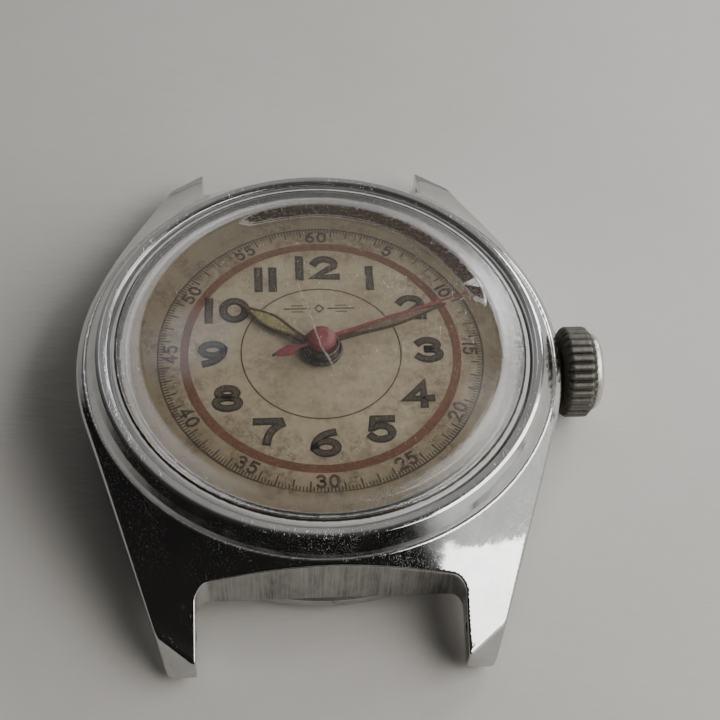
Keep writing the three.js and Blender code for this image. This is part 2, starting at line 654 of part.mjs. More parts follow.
function palletFork() {
  const notch = from(PALLET, 2.1, ESCAPEMENT_ANGLE);
  const lever = bar(PALLET, notch, 0.3, 0.3, FORK_Z);
  const arms = [-1, 1].map((side) => {
    const end = from(ESCAPE, 2.52, ESCAPEMENT_ANGLE + side * (STONE_ANGLE + 2));
    return bar(PALLET, end, 0.3, 0.17, FORK_Z);
  });
  const slot = new THREE.BoxGeometry(0.7, 0.3, 1);
  slot.rotateZ(THREE.MathUtils.degToRad(ESCAPEMENT_ANGLE));
  const mouth = from(PALLET, 2.4, ESCAPEMENT_ANGLE);
  slot.translate(mouth[0], mouth[1], 2.5);
  return join(cut(lever, solid(slot)), ...arms, arbor(PALLET, [[0.1, 2.2, 3.9], [0.16, 2.42, 3.25]]));
}

function balanceWheel() {
  const rim = ring(3.75, 4.2, [1.72, 2.08], BALANCE, 24);
  const spoke = bar(from(BALANCE, 3.9, 20), from(BALANCE, 3.9, 200), 0.22, 0.22, [1.85, 2.05]);
  return cut(join(rim, spoke, rod(0.6, [1.85, 2.05], BALANCE)), rod(0.24, [1, 3], BALANCE));
}

function balanceStaff() {
  return join(
    rod(0.07, [1.03, 3.57], BALANCE),
    rod(0.14, [1.42, 3.25], BALANCE),
    rod(0.21, [1.7, 2.18], BALANCE),
    rod(0.32, [1.68, 1.82], BALANCE));
}

function rollerTable() {
  const table = rod(0.95, [2.2, 2.36], BALANCE, 12);
  const pinHole = rod(0.13, [2, 3], IMPULSE_JEWEL);
  return cut(table, rod(0.16, [2, 3], BALANCE), pinHole);
}

// ---- Motion work and hands ----

function cannonPinion() {
  const pinion = wheel(GEARS.cannon, phases.cannon, CENTRE, [4.7, 5.05]);
  return cut(join(pinion, rod(0.62, [4.7, 7.12])), rod(0.45, [4, 7.5]));
}

function minuteWheel() {
  const rim = wheel(GEARS.minute, phases.minute, MINUTE_WORKS, [4.75, 4.95]);
  const pinion = wheel(GEARS.minutePinion, phases.minutePinion, MINUTE_WORKS, [4.9, 5.45]);
  return cut(join(rim, pinion), rod(0.3, [4, 6], MINUTE_WORKS));
}

function hourWheel() {
  const rim = wheel(GEARS.hour, phases.hour, CENTRE, [5.15, 5.4]);
  return cut(join(rim, rod(0.95, [5.2, 6.55])), rod(0.78, [5, 7]));
}

// A leaf-shaped hand with a window for the luminous filling. It is drawn along +X, and both
// outlines list [distance, half width] from the hub to the tip.
function leafHand(hand, hub, bore, blade, window) {
  const bothSides = (edge) => polygon([...edge.map(([x, y]) => [x, -y]), ...[...edge].reverse()]);
  const shape = bothSides([...blade, [hand.reach, 0.02]]);
  shape.holes.push(bothSides(window));
  return cut(join(plate(shape, hand.z), rod(hub, hand.z, CENTRE, 24)), rod(bore, [5, 8], CENTRE, 24));
}

function hourHand() {
  const blade = [[0.6, 0.24], [1.9, 0.26], [3.7, 0.62], [4.6, 0.5]];
  const window = [[2, 0.03], [3.7, 0.42], [4.5, 0.34], [5.5, 0.04]];
  return leafHand(HOUR_HAND, 1.35, 1, blade, window);
}

function minuteHand() {
  const blade = [[0.5, 0.22], [2, 0.24], [5, 0.46], [6.8, 0.32]];
  const window = [[2.4, 0.03], [5, 0.3], [6.6, 0.19], [8, 0.03]];
  return leafHand(MINUTE_HAND, 1.15, 0.67, blade, window);
}

function secondsHand() {
  const tail = SECONDS_HAND.tail;
  const blade = polygon([[-1, -0.12], [0.5, -0.14], [SECONDS_HAND.reach, -0.05], [SECONDS_HAND.reach, 0.05],
    [0.5, 0.14], [-1, 0.12], [-1.6, 0.13], [-2.2, 0.42], [-2.8, 0.28], [-tail, 0.04],
    [-tail, -0.04], [-2.8, -0.28], [-2.2, -0.42], [-1.6, -0.13]]);
  const hub = turned([
    [0, 7.32], [0.92, 7.32], [0.95, 7.5], [0.8, 7.78], [0.4, 7.92], [0, 7.95],
  ], CENTRE, 16);
  return join(plate(blade, SECONDS_HAND.z), hub);
}

function dial() {
  const face = rod(DIAL_RADIUS, DIAL_Z, CENTRE, RING_SEGMENTS);
  return cut(face, rod(1.05, [5, 7], CENTRE, 16));
}

function movementRing() {
  const body = ring(12.26, 13, [3.2, DIAL_Z[0]]);
  return cut(body, stemRod(0.7, [11, 14], 16));
}

// ---- Assembly ----

const watch = new THREE.Group();

function add(name, finish, body, group = watch) {
  const [color, roughness, metalness] = FINISHES[finish];
  const material = new THREE.MeshStandardMaterial({ color, roughness, metalness });
  if (finish === 'acrylic') {
    material.transparent = true;
    material.opacity = 0.3;
  }
  const mesh = new THREE.Mesh(geometryOf(body), material);
  mesh.name = name;
  group.add(mesh);
  return mesh;
}

// A hand is drawn along +X and turned to its place on the dial.
function addHand(name, finish, body, hand) {
  const turn = new THREE.Group();
  turn.rotation.z = THREE.MathUtils.degToRad(hand.angle);
  watch.add(turn);
  add(name, finish, body, turn);
}

add('mid_case', 'chrome', midCase());
add('bezel', 'chrome', bezel());
add('crystal', 'acrylic', crystal());
add('case_back', 'steel', caseBack());
add('case_back_gasket', 'rubber', ring(13.2, 13.65, [2.24, 2.6]));
add('movement_ring', 'nickel', movementRing());
add('dial', 'dial', dial());
addHand('hour_hand', 'hand', hourHand(), HOUR_HAND);
addHand('minute_hand', 'hand', minuteHand(), MINUTE_HAND);
addHand('seconds_hand', 'red', secondsHand(), SECONDS_HAND);

add('crown_tube', 'steel', crownTube());
add('crown', 'darkSteel', crown());
add('winding_stem', 'steel', windingStem());
add('winding_pinion', 'steel', windingPinion());
add('sliding_pinion', 'steel', slidingPinion());
add('setting_lever', 'steel', settingLever());
add('yoke', 'steel', yoke());
add('yoke_spring', 'blued', bar([6.2, -6.2], [6.7, -2.6], 0.45, 0.1, LEVER_Z));
add('setting_wheel', 'steel', cut(wheel(GEARS.setting, phases.setting, SETTING, [4.55, 4.95]),
  rod(0.3, [4, 6], SETTING)));
add('crown_wheel', 'steel', cut(wheel(GEARS.crown, phases.crown, CROWN_WHEEL, [WORKS_Z[0], 1.6]),
  rod(0.95, [0, 3], CROWN_WHEEL, 20)));
add('ratchet_wheel', 'steel', cut(wheel(GEARS.ratchet, phases.ratchet, BARREL, WORKS_Z),
  rod(0.58, [0, 3], BARREL)));
add('click', 'steel', join(bar(CLICK, from(CLICK, 1.75, -17), 0.5, 0.12, [0.95, 1.25]),
  rod(0.25, [0.95, 1.95], CLICK)));
add('click_spring', 'blued', bar([-1.6, 10.4], [-1.7, 7], 0.4, 0.08, [1, 1.35]));

add('main_plate', 'nickel', mainPlate());
add('barrel_bridge', 'nickel', barrelBridge());
add('train_bridge', 'nickel', trainBridge());
add('balance_cock', 'nickel', balanceCock());
add('pallet_bridge', 'nickel', palletBridge());
add('regulator', 'steel', regulator());

add('barrel_drum', 'brass', barrelDrum());
add('barrel_cover', 'brass', ring(0.75, 4.4, [4.08, 4.22], BARREL, 24));
add('barrel_arbor', 'steel', barrelArbor());
add('mainspring', 'blued', spiral(BARREL, 1.25, 4.3, 0.13, 5, [3.12, 4.02], 14));
add('centre_wheel', 'gilt', centreWheel());
add('third_wheel', 'gilt', thirdWheel());
add('sweep_driving_wheel', 'gilt', sweepDrivingWheel());
add('fourth_wheel', 'gilt', fourthWheel());
add('escape_wheel', 'gilt', escapeWheel());
add('sweep_pinion', 'steel', sweepPinion());

add('pallet_fork', 'steel', palletFork());
add('pallet_stone_entry', 'ruby', palletStone(1));
add('pallet_stone_exit', 'ruby', palletStone(-1));
add('balance_wheel', 'gilt', balanceWheel());
add('balance_staff', 'steel', balanceStaff());
add('roller_table', 'gilt', rollerTable());
add('impulse_jewel', 'ruby', rod(0.1, [2.22, 2.72], IMPULSE_JEWEL));
add('hairspring', 'blued', spiral(BALANCE, 0.42, 1.72, 0.05, 6, [1.5, 1.6], 12));
add('cock_hole_jewel', 'ruby', ring(0.12, 0.6, [1.08, 1.38], BALANCE, 12));
add('cock_cap_jewel', 'ruby', rod(0.6, [0.86, 1], BALANCE));
add('plate_hole_jewel', 'ruby', ring(0.12, 0.6, [3.32, 3.6], BALANCE, 12));
add('plate_cap_jewel', 'ruby', rod(0.6, [3.62, 3.85], BALANCE));

add('cannon_pinion', 'steel', cannonPinion());
add('minute_wheel', 'gilt', minuteWheel());
add('hour_wheel', 'gilt', hourWheel());

BARREL_BRIDGE_FEET.forEach((at, index) => {
  add(`barrel_bridge_screw_${index + 1}`, 'blued', screw(at, [1.05, 1.4], 4.5));
});
add('train_bridge_screw', 'blued', screw(TRAIN_BRIDGE_FEET[0], [1.15, 1.5], 4.5));
add('balance_cock_screw', 'blued', screw(COCK_FOOT, [0.75, 1], 4.5));

export default watch;
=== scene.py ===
"""Looks of a mechanical wristwatch head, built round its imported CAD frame.

Sizes below are millimetres in the row frame: origin under the case back, +X to the crown,
+Y to 12 o'clock, +Z out of the dial. Meshes are scaled to metres when they are made.
"""
import json
import math

import bpy
import numpy as np
from mathutils import Euler, Matrix, Vector


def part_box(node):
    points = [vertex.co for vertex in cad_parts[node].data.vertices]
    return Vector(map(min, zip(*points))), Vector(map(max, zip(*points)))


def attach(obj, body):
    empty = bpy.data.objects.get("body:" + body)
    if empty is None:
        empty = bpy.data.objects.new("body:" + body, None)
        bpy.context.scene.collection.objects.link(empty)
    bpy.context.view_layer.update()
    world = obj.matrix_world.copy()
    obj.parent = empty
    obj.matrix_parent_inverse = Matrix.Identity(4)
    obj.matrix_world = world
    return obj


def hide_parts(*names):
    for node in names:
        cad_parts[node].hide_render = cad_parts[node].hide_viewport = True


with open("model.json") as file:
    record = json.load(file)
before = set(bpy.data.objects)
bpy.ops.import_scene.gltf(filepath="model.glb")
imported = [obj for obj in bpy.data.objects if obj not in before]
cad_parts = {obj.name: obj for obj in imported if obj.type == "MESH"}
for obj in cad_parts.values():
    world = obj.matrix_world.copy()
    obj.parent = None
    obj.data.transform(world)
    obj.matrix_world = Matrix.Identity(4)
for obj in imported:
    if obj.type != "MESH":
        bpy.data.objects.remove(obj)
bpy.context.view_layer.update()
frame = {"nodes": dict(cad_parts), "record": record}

METRE = 0.001


def node_box(name):
    """Lowest and highest corner of a CAD node, in millimetres."""
    low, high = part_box(name)
    return low / METRE, high / METRE


# ---- Driving sizes, read from the frame ----

CASE_LOW, CASE_HIGH = node_box("mid_case")
CASE_RADIUS = CASE_HIGH.x
LUG_TIP_Y = CASE_HIGH.y
LEDGE_Z = CASE_HIGH.z
LUG_TIP_X = 9.75
LUG_HALF_GAP = 8.0
LUG_WALL_Y = 15.45
CASE_FLOOR_Z = 2.2
BEZEL_RADIUS = node_box("bezel")[1].x
BEZEL_TOP_Z = node_box("bezel")[1].z
BEVEL_RADIUS = 11.6
CRYSTAL_RADIUS = node_box("crystal")[1].x
CRYSTAL_TOP_Z = node_box("crystal")[1].z
BACK_RADIUS = node_box("case_back")[1].x
CRYSTAL_FOOT_RADIUS = 13.08
DIAL_RADIUS = node_box("dial")[1].x
DIAL_TOP_Z = node_box("dial")[1].z
STEM_Z = (node_box("crown")[0].z + node_box("crown")[1].z) / 2
CROWN_START_X = node_box("crown")[0].x
CROWN_END_X = node_box("crown")[1].x
CROWN_RADIUS = 3.05
CROWN_FLUTES = 30
HOUR_HAND_Z = node_box("hour_hand")[0].z
MINUTE_HAND_Z = node_box("minute_hand")[0].z
HUB_LOW_Z = node_box("seconds_hand")[0].z
HUB_TOP_Z = node_box("seconds_hand")[1].z
SECONDS_HAND_Z = 7.4
HOUR_HAND_ANGLE = 144.5
MINUTE_HAND_ANGLE = 20.5
SECONDS_HAND_ANGLE = 20.8


# ---- Meshes ----

def mesh_piece(name, points, faces, material, body="case", slot=None, normals=None, replaces=(),
               smooth=True):
    """A mesh from points in millimetres."""
    mesh = bpy.data.meshes.new(name)
    mesh.from_pydata((np.asarray(points, float) * METRE).tolist(), [], faces)
    mesh.validate()
    if smooth:
        mesh.shade_smooth()
    if normals is not None:
        mesh.normals_split_custom_set_from_vertices(np.asarray(normals, float).tolist())
    piece = bpy.data.objects.new(name, mesh)
    return finish_piece(piece, material, body, replaces)


def finish_piece(piece, material, body, replaces=()):
    """Links a new piece with its material, on its body and in the place of its CAD nodes."""
    bpy.context.scene.collection.objects.link(piece)
    piece.data.materials.append(material)
    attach(piece, body)
    if replaces:
        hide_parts(*replaces)
    return piece


def rounded(corners, closed=False, steps=6):
    """Points and outward normals along a profile of (radius, height, fillet) corners.

    The profile runs anticlockwise, from the axis at the bottom to the axis at the top.
    """
    spots = [np.array(corner[:2], float) for corner in corners]
    count = len(spots)
    points, normals = [], []

    def right_of(direction):
        return np.array([direction[1], -direction[0]])

    for index, corner in enumerate(corners):
        here = spots[index]
        if not closed and index in (0, count - 1):
            other = spots[1] if index == 0 else spots[count - 2]
            along = other - here if index == 0 else here - other
            points.append(here)
            normals.append(right_of(along / np.linalg.norm(along)))
            continue
        before, after = here - spots[index - 1], spots[(index + 1) % count] - here
        room = min(np.linalg.norm(before), np.linalg.norm(after)) * 0.49
        before, after = before / np.linalg.norm(before), after / np.linalg.norm(after)
        turn = math.atan2(before[0] * after[1] - before[1] * after[0], before @ after)
        radius = min(corner[2], room / max(abs(math.tan(turn / 2)), 1e-6))
        start = here - before * radius * abs(math.tan(turn / 2))
        side = right_of(before) * math.copysign(1, turn)
        centre = start - side * radius
        for step in range(steps + 1):
            angle = turn * step / steps
            cosine, sine = math.cos(angle), math.sin(angle)
            spoke = np.array([side[0] * cosine - side[1] * sine,
                              side[0] * sine + side[1] * cosine])
            points.append(centre + spoke * radius)
            normals.append(spoke * math.copysign(1, turn))
    return np.array(points), np.array(normals)


def lathe(name, corners, material, closed=False, segments=192, steps=6, **options):
    """A body turned about the Z axis from rounded profile corners."""
    profile, slopes = rounded(corners, closed, steps)
    turns = np.linspace(0, 2 * math.pi, segments, endpoint=False)
    points, normals, rows = [], [], []
    for (radius, height), (out, up) in zip(profile, slopes):
        if radius < 1e-6:
            rows.append([len(points)] * segments)
            points.append((0, 0, height))
            normals.append((0, 0, math.copysign(1, up)))
            continue
        rows.append(list(range(len(points), len(points) + segments)))
        points.extend((radius * math.cos(t), radius * math.sin(t), height) for t in turns)
        normals.extend((out * math.cos(t), out * math.sin(t), up) for t in turns)
    faces = []
    pairs = list(zip(rows, rows[1:])) + ([(rows[-1], rows[0])] if closed else [])
    for low, high in pairs:
        for k in range(segments):
            n = (k + 1) % segments
            face = list(dict.fromkeys([low[k], low[n], high[n], high[k]]))
            if len(face) > 2:
                faces.append(face)
    return mesh_piece(name, points, faces, material, normals=normals, **options)


def flat_piece(name, loops, low_z, high_z, material, bevel=0.0, **options):
    """A flat plate cut to closed loops in plan; a loop inside another is a hole."""
    curve = bpy.data.curves.new(name, "CURVE")
    curve.dimensions = "2D"
    curve.fill_mode = "BOTH"
    curve.extrude = (high_z - low_z) / 2 - bevel
    curve.bevel_depth = bevel
    curve.bevel_resolution = 2
    curve.offset = -bevel
    for loop in loops:
        spline = curve.splines.new("POLY")
        spline.points.add(len(loop) - 1)
        spline.use_cyclic_u = True
        for point, (x, y) in zip(spline.points, loop):
            point.co = (x, y, 0, 1)
    return converted(curve, name, (low_z + high_z) / 2, material, **options)


def converted(curve, name, middle_z, material, turn=0.0, body="case", slot=None, replaces=()):
    """Turns a curve in millimetres into a mesh piece in metres."""
    source = bpy.data.objects.new(name + "_curve", curve)
    bpy.context.scene.collection.objects.link(source)
    graph = bpy.context.evaluated_depsgraph_get()
    mesh = bpy.data.meshes.new_from_object(source.evaluated_get(graph))
    bpy.data.objects.remove(source)
    mesh.materials.clear()
    place = Matrix.Rotation(math.radians(turn), 4, "Z") @ Matrix.Translation((0, 0, middle_z))
    mesh.transform(Matrix.Scale(METRE, 4) @ place)
    mesh.name = name
    return finish_piece(bpy.data.objects.new(name, mesh), material, body, replaces)


def arc(x, y, reach_x, reach_y, start, end, count=16):
    """Points along an elliptical arc; angles are in degrees, anticlockwise from +X."""
    turns = np.radians(np.linspace(start, end, count))
    return [(x + reach_x * math.cos(t), y + reach_y * math.sin(t)) for t in turns]


def circle(radius, count=200):
    """A closed circle about the dial's axis."""
    return arc(0, 0, radius, radius, 0, 360, count + 1)


def strokes_piece(name, strokes, low_z, high_z, material, square_ends=0, **options):
    """Flat drawn lines of square section: each stroke is (points in plan, width)."""
    points, faces = [], []
    for line, width in strokes:
        line = np.array(line, float)
        looped = np.allclose(line[0], line[-1])
        if looped:
            line = line[:-1]
        else:
            for end, inside in ((0, 1), (-1, -2)):
                away = line[end] - line[inside]
                line[end] += away / np.linalg.norm(away) * width * square_ends / 2
        steps = np.roll(line, -1, 0) - line
        if not looped:
            steps[-1] = steps[-2]
        along = steps / np.linalg.norm(steps, axis=1)[:, None]
        before = np.roll(along, 1, 0)
        if not looped:
            before[0] = along[0]
        middle = along + before
        middle /= np.linalg.norm(middle, axis=1)[:, None]
        across = np.stack([-middle[:, 1], middle[:, 0]], 1)
        lean = np.maximum((middle * along).sum(1), 0.5)[:, None]
        left, right = line + across * width / 2 / lean, line - across * width / 2 / lean
        first = len(points)
        for a, b in zip(left, right):
            points += [(*a, low_z), (*b, low_z), (*b, high_z), (*a, high_z)]
        count = len(line)
        for k in range(count if looped else count - 1):
            near, far = first + 4 * k, first + 4 * ((k + 1) % count)
            for side in range(4):
                other = (side + 1) % 4
                faces.append([near + side, near + other, far + other, far + side])
        if not looped:
            last = first + 4 * (count - 1)
            faces.append([first + 3, first + 2, first + 1, first])
            faces.append([last, last + 1, last + 2, last + 3])
    return mesh_piece(name, points, faces, material, smooth=False, **options)


def surface_net(field, low, high, step):
    """Points and quads on the zero surface of a field that is negative inside a solid."""
    axes = [np.arange(a, b + step, step) for a, b in zip(low, high)]
    grid = np.stack(np.meshgrid(*axes, indexing="ij"))
    values = field(grid)
    inside = values < 0
    size = [n - 1 for n in inside.shape]
    offsets = [(i, j, k) for i in (0, 1) for j in (0, 1) for k in (0, 1)]

    def corner(array, offset):
        return array[tuple(slice(o, o + n) for o, n in zip(offset, size))]

    count = sum(corner(inside, offset).astype(np.int8) for offset in offsets)
    cells = np.argwhere((count > 0) & (count < 8))
    number = np.full(size, -1)
    number[tuple(cells.T)] = np.arange(len(cells))
    total, crossings = np.zeros((len(cells), 3)), np.zeros(len(cells))
    for start in offsets:
        for axis in range(3):
            if start[axis]:
                continue
            a = tuple((cells + start).T)
            end = np.array(start)
            end[axis] = 1
            b = tuple((cells + end).T)
            va, vb = values[a], values[b]
            crossed = (va < 0) != (vb < 0)
            share = np.where(crossed, va / np.where(va == vb, 1, va - vb), 0)
            spot = np.tile(np.array(start, float), (len(cells), 1))
            spot[:, axis] = share
            total += spot * crossed[:, None]
            crossings += crossed
    points = np.array(low) + (cells + total / crossings[:, None]) * step
    quads = []
    for axis in range(3):
        near = [slice(1, -1)] * 3
        far = [slice(1, -1)] * 3
        near[axis], far[axis] = slice(0, -1), slice(1, None)
        a, b = inside[tuple(near)], inside[tuple(far)]
        u, v = (axis + 1) % 3, (axis + 2) % 3
        for rising in (True, False):
            edges = np.argwhere((a & ~b) if rising else (~a & b))
            base = edges + np.array([0 if k == axis else 1 for k in range(3)])
            around_edge = []
            for du, dv in ((-1, -1), (0, -1), (0, 0), (-1, 0)):
                cell = base.copy()
                cell[:, u] += du
                cell[:, v] += dv
                around_edge.append(number[tuple(cell.T)])
            quad = np.stack(around_edge, 1)
            quads.append(quad if rising else quad[:, ::-1])
    return points, np.concatenate(quads)


def gradient(field, points, reach=0.01):
    """Slope of a field at each point, by central differences."""
    slopes = []
    for axis in range(3):
        shift = np.zeros(3)
        shift[axis] = reach
        slopes.append(field((points + shift).T) - field((points - shift).T))
    return np.stack(slopes, 1) / (2 * reach)


def settle(field, points, rounds=4, longest=0.05):
    """Moves points onto the zero surface of the field."""
    for _ in range(rounds):
        slope = gradient(field, points)
        move = field(points.T)[:, None] * slope / np.maximum((slope**2).sum(1)[:, None], 0.05)
        length = np.linalg.norm(move, axis=1)[:, None]
        points = points - move * np.minimum(1, longest / np.maximum(length, 1e-9))
    return points


def round_cut(a, b, radius):
    """Intersection of two fields with a rounded edge."""
    inner = np.minimum(np.maximum(a, b), -radius)
    return inner + np.hypot(np.maximum(a + radius, 0), np.maximum(b + radius, 0))


# ---- Materials ----

class Nodes:
    """A material with its shader, and short calls for the nodes that its maps need."""

    def __init__(self, name):
        self.material = bpy.data.materials.new(name)
        self.material.use_nodes = True
        self.tree = self.material.node_tree
        self.shader = self.tree.nodes["Principled BSDF"]
        coordinates = self.tree.nodes.new("ShaderNodeTexCoord")
        scaled = self.tree.nodes.new("ShaderNodeVectorMath")
        scaled.operation = "SCALE"
        scaled.inputs["Scale"].default_value = 1 / METRE
        self.tree.links.new(coordinates.outputs["Object"], scaled.inputs[0])
        self.place = scaled.outputs[0]

    def set(self, **values):
        for name, value in values.items():
            socket = self.shader.inputs[name.replace("_", " ")]
            self.put(socket, value)
        return self

    def put(self, socket, value):
        if isinstance(value, bpy.types.NodeSocket):
            self.tree.links.new(value, socket)
        elif isinstance(value, tuple) and len(value) == 3 and len(socket.default_value) == 4:
            socket.default_value = (*value, 1)
        else:
            socket.default_value = value

    def node(self, kind, inputs=(), output=0, **settings):
        made = self.tree.nodes.new("ShaderNode" + kind)
        for name, value in settings.items():
            setattr(made, name, value)
        for key, value in dict(inputs).items():
            self.put(made.inputs[key], value)
        return made.outputs[output]

    def math(self, operation, a, b=0.0):
        return self.node("Math", {0: a, 1: b}, operation=operation)

    def stretch(self, scale, turn=(0, 0, 0)):
        """The place vector turned and scaled per axis."""
        return self.node("Mapping", {"Vector": self.place, "Scale": scale, "Rotation": turn})

    def noise(self, scale, detail=3.0, vector=None, roughness=0.55):
        return self.node("TexNoise", {
            "Vector": vector or self.place, "Scale": scale, "Detail": detail,
            "Roughness": roughness,
        })

    def cells(self, scale):
        return self.node("TexVoronoi", {"Vector": self.place, "Scale": scale})

    def levels(self, value, low, high, start=0.0, end=1.0):
        """Maps low to high onto start to end, and holds the ends."""
        return self.node("MapRange", {
            "Value": value, "From Min": low, "From Max": high, "To Min": start, "To Max": end,
        })

    def mix(self, share, first, second):
        made = self.tree.nodes.new("ShaderNodeMix")
        made.data_type = "RGBA"
        self.put(made.inputs["Factor"], share)
        self.put(made.inputs[6], first)
        self.put(made.inputs[7], second)
        return made.outputs[2]

    def bump(self, height, distance, normal=None):
        inputs = {"Height": height, "Distance": distance * METRE, "Strength": 1.0}
        if normal is not None:
            inputs["Normal"] = normal
        return self.node("Bump", inputs)

    def axis(self, index):
        return self.node("SeparateXYZ", {0: self.place}, output=index)

    def radius(self):
        """Distance from the dial's axis."""
        flat = self.node("CombineXYZ", {0: self.axis(0), 1: self.axis(1)})
        return self.node("VectorMath", {0: flat}, output=1, operation="LENGTH")

    def scratches(self, seed, density=0.62, fineness=26.0):
        """Thin random streaks in three directions, as a value that is 1 on a streak."""
        total = None
        for index in range(3):
            turn = (0.3 * index, 0.2 * seed, 1.1 * index + seed)
            lines = self.noise(1.0, 2.0, self.stretch((fineness, 0.7, fineness * 0.5), turn))
            patch = self.noise(0.35, 2.0, self.stretch((1, 1, 1), (0, 0, seed + index)))
            streak = self.levels(lines, density + 0.03, density + 0.07)
            streak = self.math("MULTIPLY", streak, self.levels(patch, 0.42, 0.62))
            total = streak if total is None else self.math("MAXIMUM", total, streak)
        return total


CHROME_TINT = (0.60, 0.60, 0.60)


def polished_steel(name, seed, low=0.035, high=0.1):
    """Worn polished chrome: hairline scratches, hazed patches and brown grime in small spots."""
    n = Nodes(name)
    haze = n.noise(0.55, 4.0)
    fine = n.noise(5.0, 3.0)
    scratch = n.scratches(seed, 0.64)
    dirt = n.levels(n.noise(1.7, 4.0, roughness=0.65), 0.68, 0.74)
    dirt = n.math("MULTIPLY", dirt, 0.5)
    hazed = tuple(c * 0.86 for c in CHROME_TINT)
    colour = n.mix(n.levels(haze, 0.35, 0.7), CHROME_TINT, hazed)
    colour = n.mix(dirt, colour, (0.10, 0.08, 0.06))
    rough = n.levels(haze, 0.35, 0.7, low, high)
    rough = n.math("ADD", rough, n.math("MULTIPLY", scratch, 0.16))
    rough = n.math("ADD", rough, n.math("MULTIPLY", dirt, 0.3))
    normal = n.bump(fine, 0.0015)
    normal = n.bump(n.noise(0.5, 2.0), 0.02, normal=normal)
    normal = n.bump(n.math("SUBTRACT", 1.0, scratch), 0.003, normal=normal)
    n.set(Base_Color=colour, Metallic=1.0, Roughness=rough, Normal=normal)
    return n


def case_steel():
    """The polished case, with upright brushing and painted shade on the flat walls between the
    lugs.
    """
    n = polished_steel("case_steel", seed=1.0)
    depth = n.math("SUBTRACT", n.math("ABSOLUTE", n.axis(1)), LUG_WALL_Y)
    near = n.levels(n.math("ABSOLUTE", depth), 0.02, 0.06, 1.0, 0.0)
    off_middle = n.math("ABSOLUTE", n.axis(0))
    between = n.levels(off_middle, LUG_HALF_GAP - 0.9, LUG_HALF_GAP - 0.5, 1.0, 0.0)
    wall = n.math("MULTIPLY", near, between)
    streaks = n.noise(1.0, 4.0, n.stretch((9.0, 1.0, 0.25)), roughness=0.7)
    wall_mottle = n.noise(1.0, 4.0, n.stretch((0.9, 1.0, 0.4)), roughness=0.6)
    shader = n.shader.inputs
    colour = shader["Base Color"].links[0].from_socket
    rough = shader["Roughness"].links[0].from_socket
    normal = shader["Normal"].links[0].from_socket
    # Painted shade: the walls between the lugs are darkened to a mottled grey-brown, with lighter
    # brushing streaks over it.
    wall_shade_and_brushing = n.mix(n.levels(wall_mottle, 0.4, 0.75), (0.34, 0.335, 0.32), (0.13, 0.12, 0.105))
    wall_shade_and_brushing = n.mix(n.levels(streaks, 0.4, 0.75), wall_shade_and_brushing, (0.5, 0.5, 0.49))
    n.set(Base_Color=n.mix(wall, colour, wall_shade_and_brushing))
    added = n.math("MULTIPLY", wall, n.levels(streaks, 0.3, 0.7, 0.22, 0.42))
    n.set(Roughness=n.math("ADD", rough, added))
    n.set(Normal=n.bump(n.math("MULTIPLY", streaks, wall), 0.03, normal=normal))
    return n.material


def brushed_steel(name, tint, rough=0.3):
    """Satin metal with round brushing about the dial's axis and dull patches."""
    n = Nodes(name)
    rings = n.node("CombineXYZ", {0: n.radius(), 1: n.axis(2)})
    brushing = n.node("TexNoise", {"Vector": rings, "Scale": 12.0, "Detail": 4.0})
    patch = n.noise(0.6, 4.0)
    dirt = n.math("MULTIPLY", n.levels(n.noise(2.0, 5.0), 0.58, 0.7), 0.4)
    colour = n.mix(n.levels(patch, 0.35, 0.7), tint, tuple(c * 0.75 for c in tint))
    colour = n.mix(dirt, colour, (0.08, 0.06, 0.045))
    n.set(Base_Color=colour, Metallic=1.0)
    n.set(Roughness=n.levels(brushing, 0.3, 0.7, rough * 0.75, rough * 1.3))
    n.set(Normal=n.bump(brushing, 0.01, normal=n.bump(n.scratches(3.0), 0.003)))
    return n.material


def crown_steel():
    """Plated crown: bright worn cap, dull dark flutes packed with grime near the case."""
    n = Nodes("crown_steel")
    off_axis = n.node("CombineXYZ", {1: n.axis(1), 2: n.math("SUBTRACT", n.axis(2), STEM_Z)})
    from_axis = n.node("VectorMath", {0: off_axis}, output=1, operation="LENGTH")
    specks = n.noise(5.0, 5.0, roughness=0.75)

    def speckled(value, spread):
        return n.math("ADD", value, n.math("MULTIPLY", specks, spread))

    ridges = n.levels(speckled(from_axis, 0.2), 3.0, 3.2)
    cap = n.levels(speckled(n.axis(0), 0.5), 18.3, 18.5)
    packed = n.levels(speckled(n.axis(0), 0.9), 16.5, 16.85, 0.8, 0.0)
    worn = n.mix(n.noise(2.0, 3.0), (0.2, 0.19, 0.17), (0.34, 0.33, 0.31))
    dull = n.mix(specks, (0.03, 0.028, 0.024), (0.12, 0.115, 0.10))
    colour = n.mix(n.math("MULTIPLY", ridges, 0.6), dull, worn)
    colour = n.mix(packed, colour, (0.035, 0.028, 0.02))
    colour = n.mix(cap, colour, n.mix(specks, (0.45, 0.44, 0.40), (0.8, 0.79, 0.74)))
    rough = n.math("ADD", n.levels(cap, 0, 1, 0.42, 0.2), n.math("MULTIPLY", packed, 0.3))
    n.set(Base_Color=colour, Metallic=0.9, Roughness=rough)
    n.set(Normal=n.bump(specks, 0.03, normal=n.bump(n.scratches(5.0), 0.01)))
    return n.material


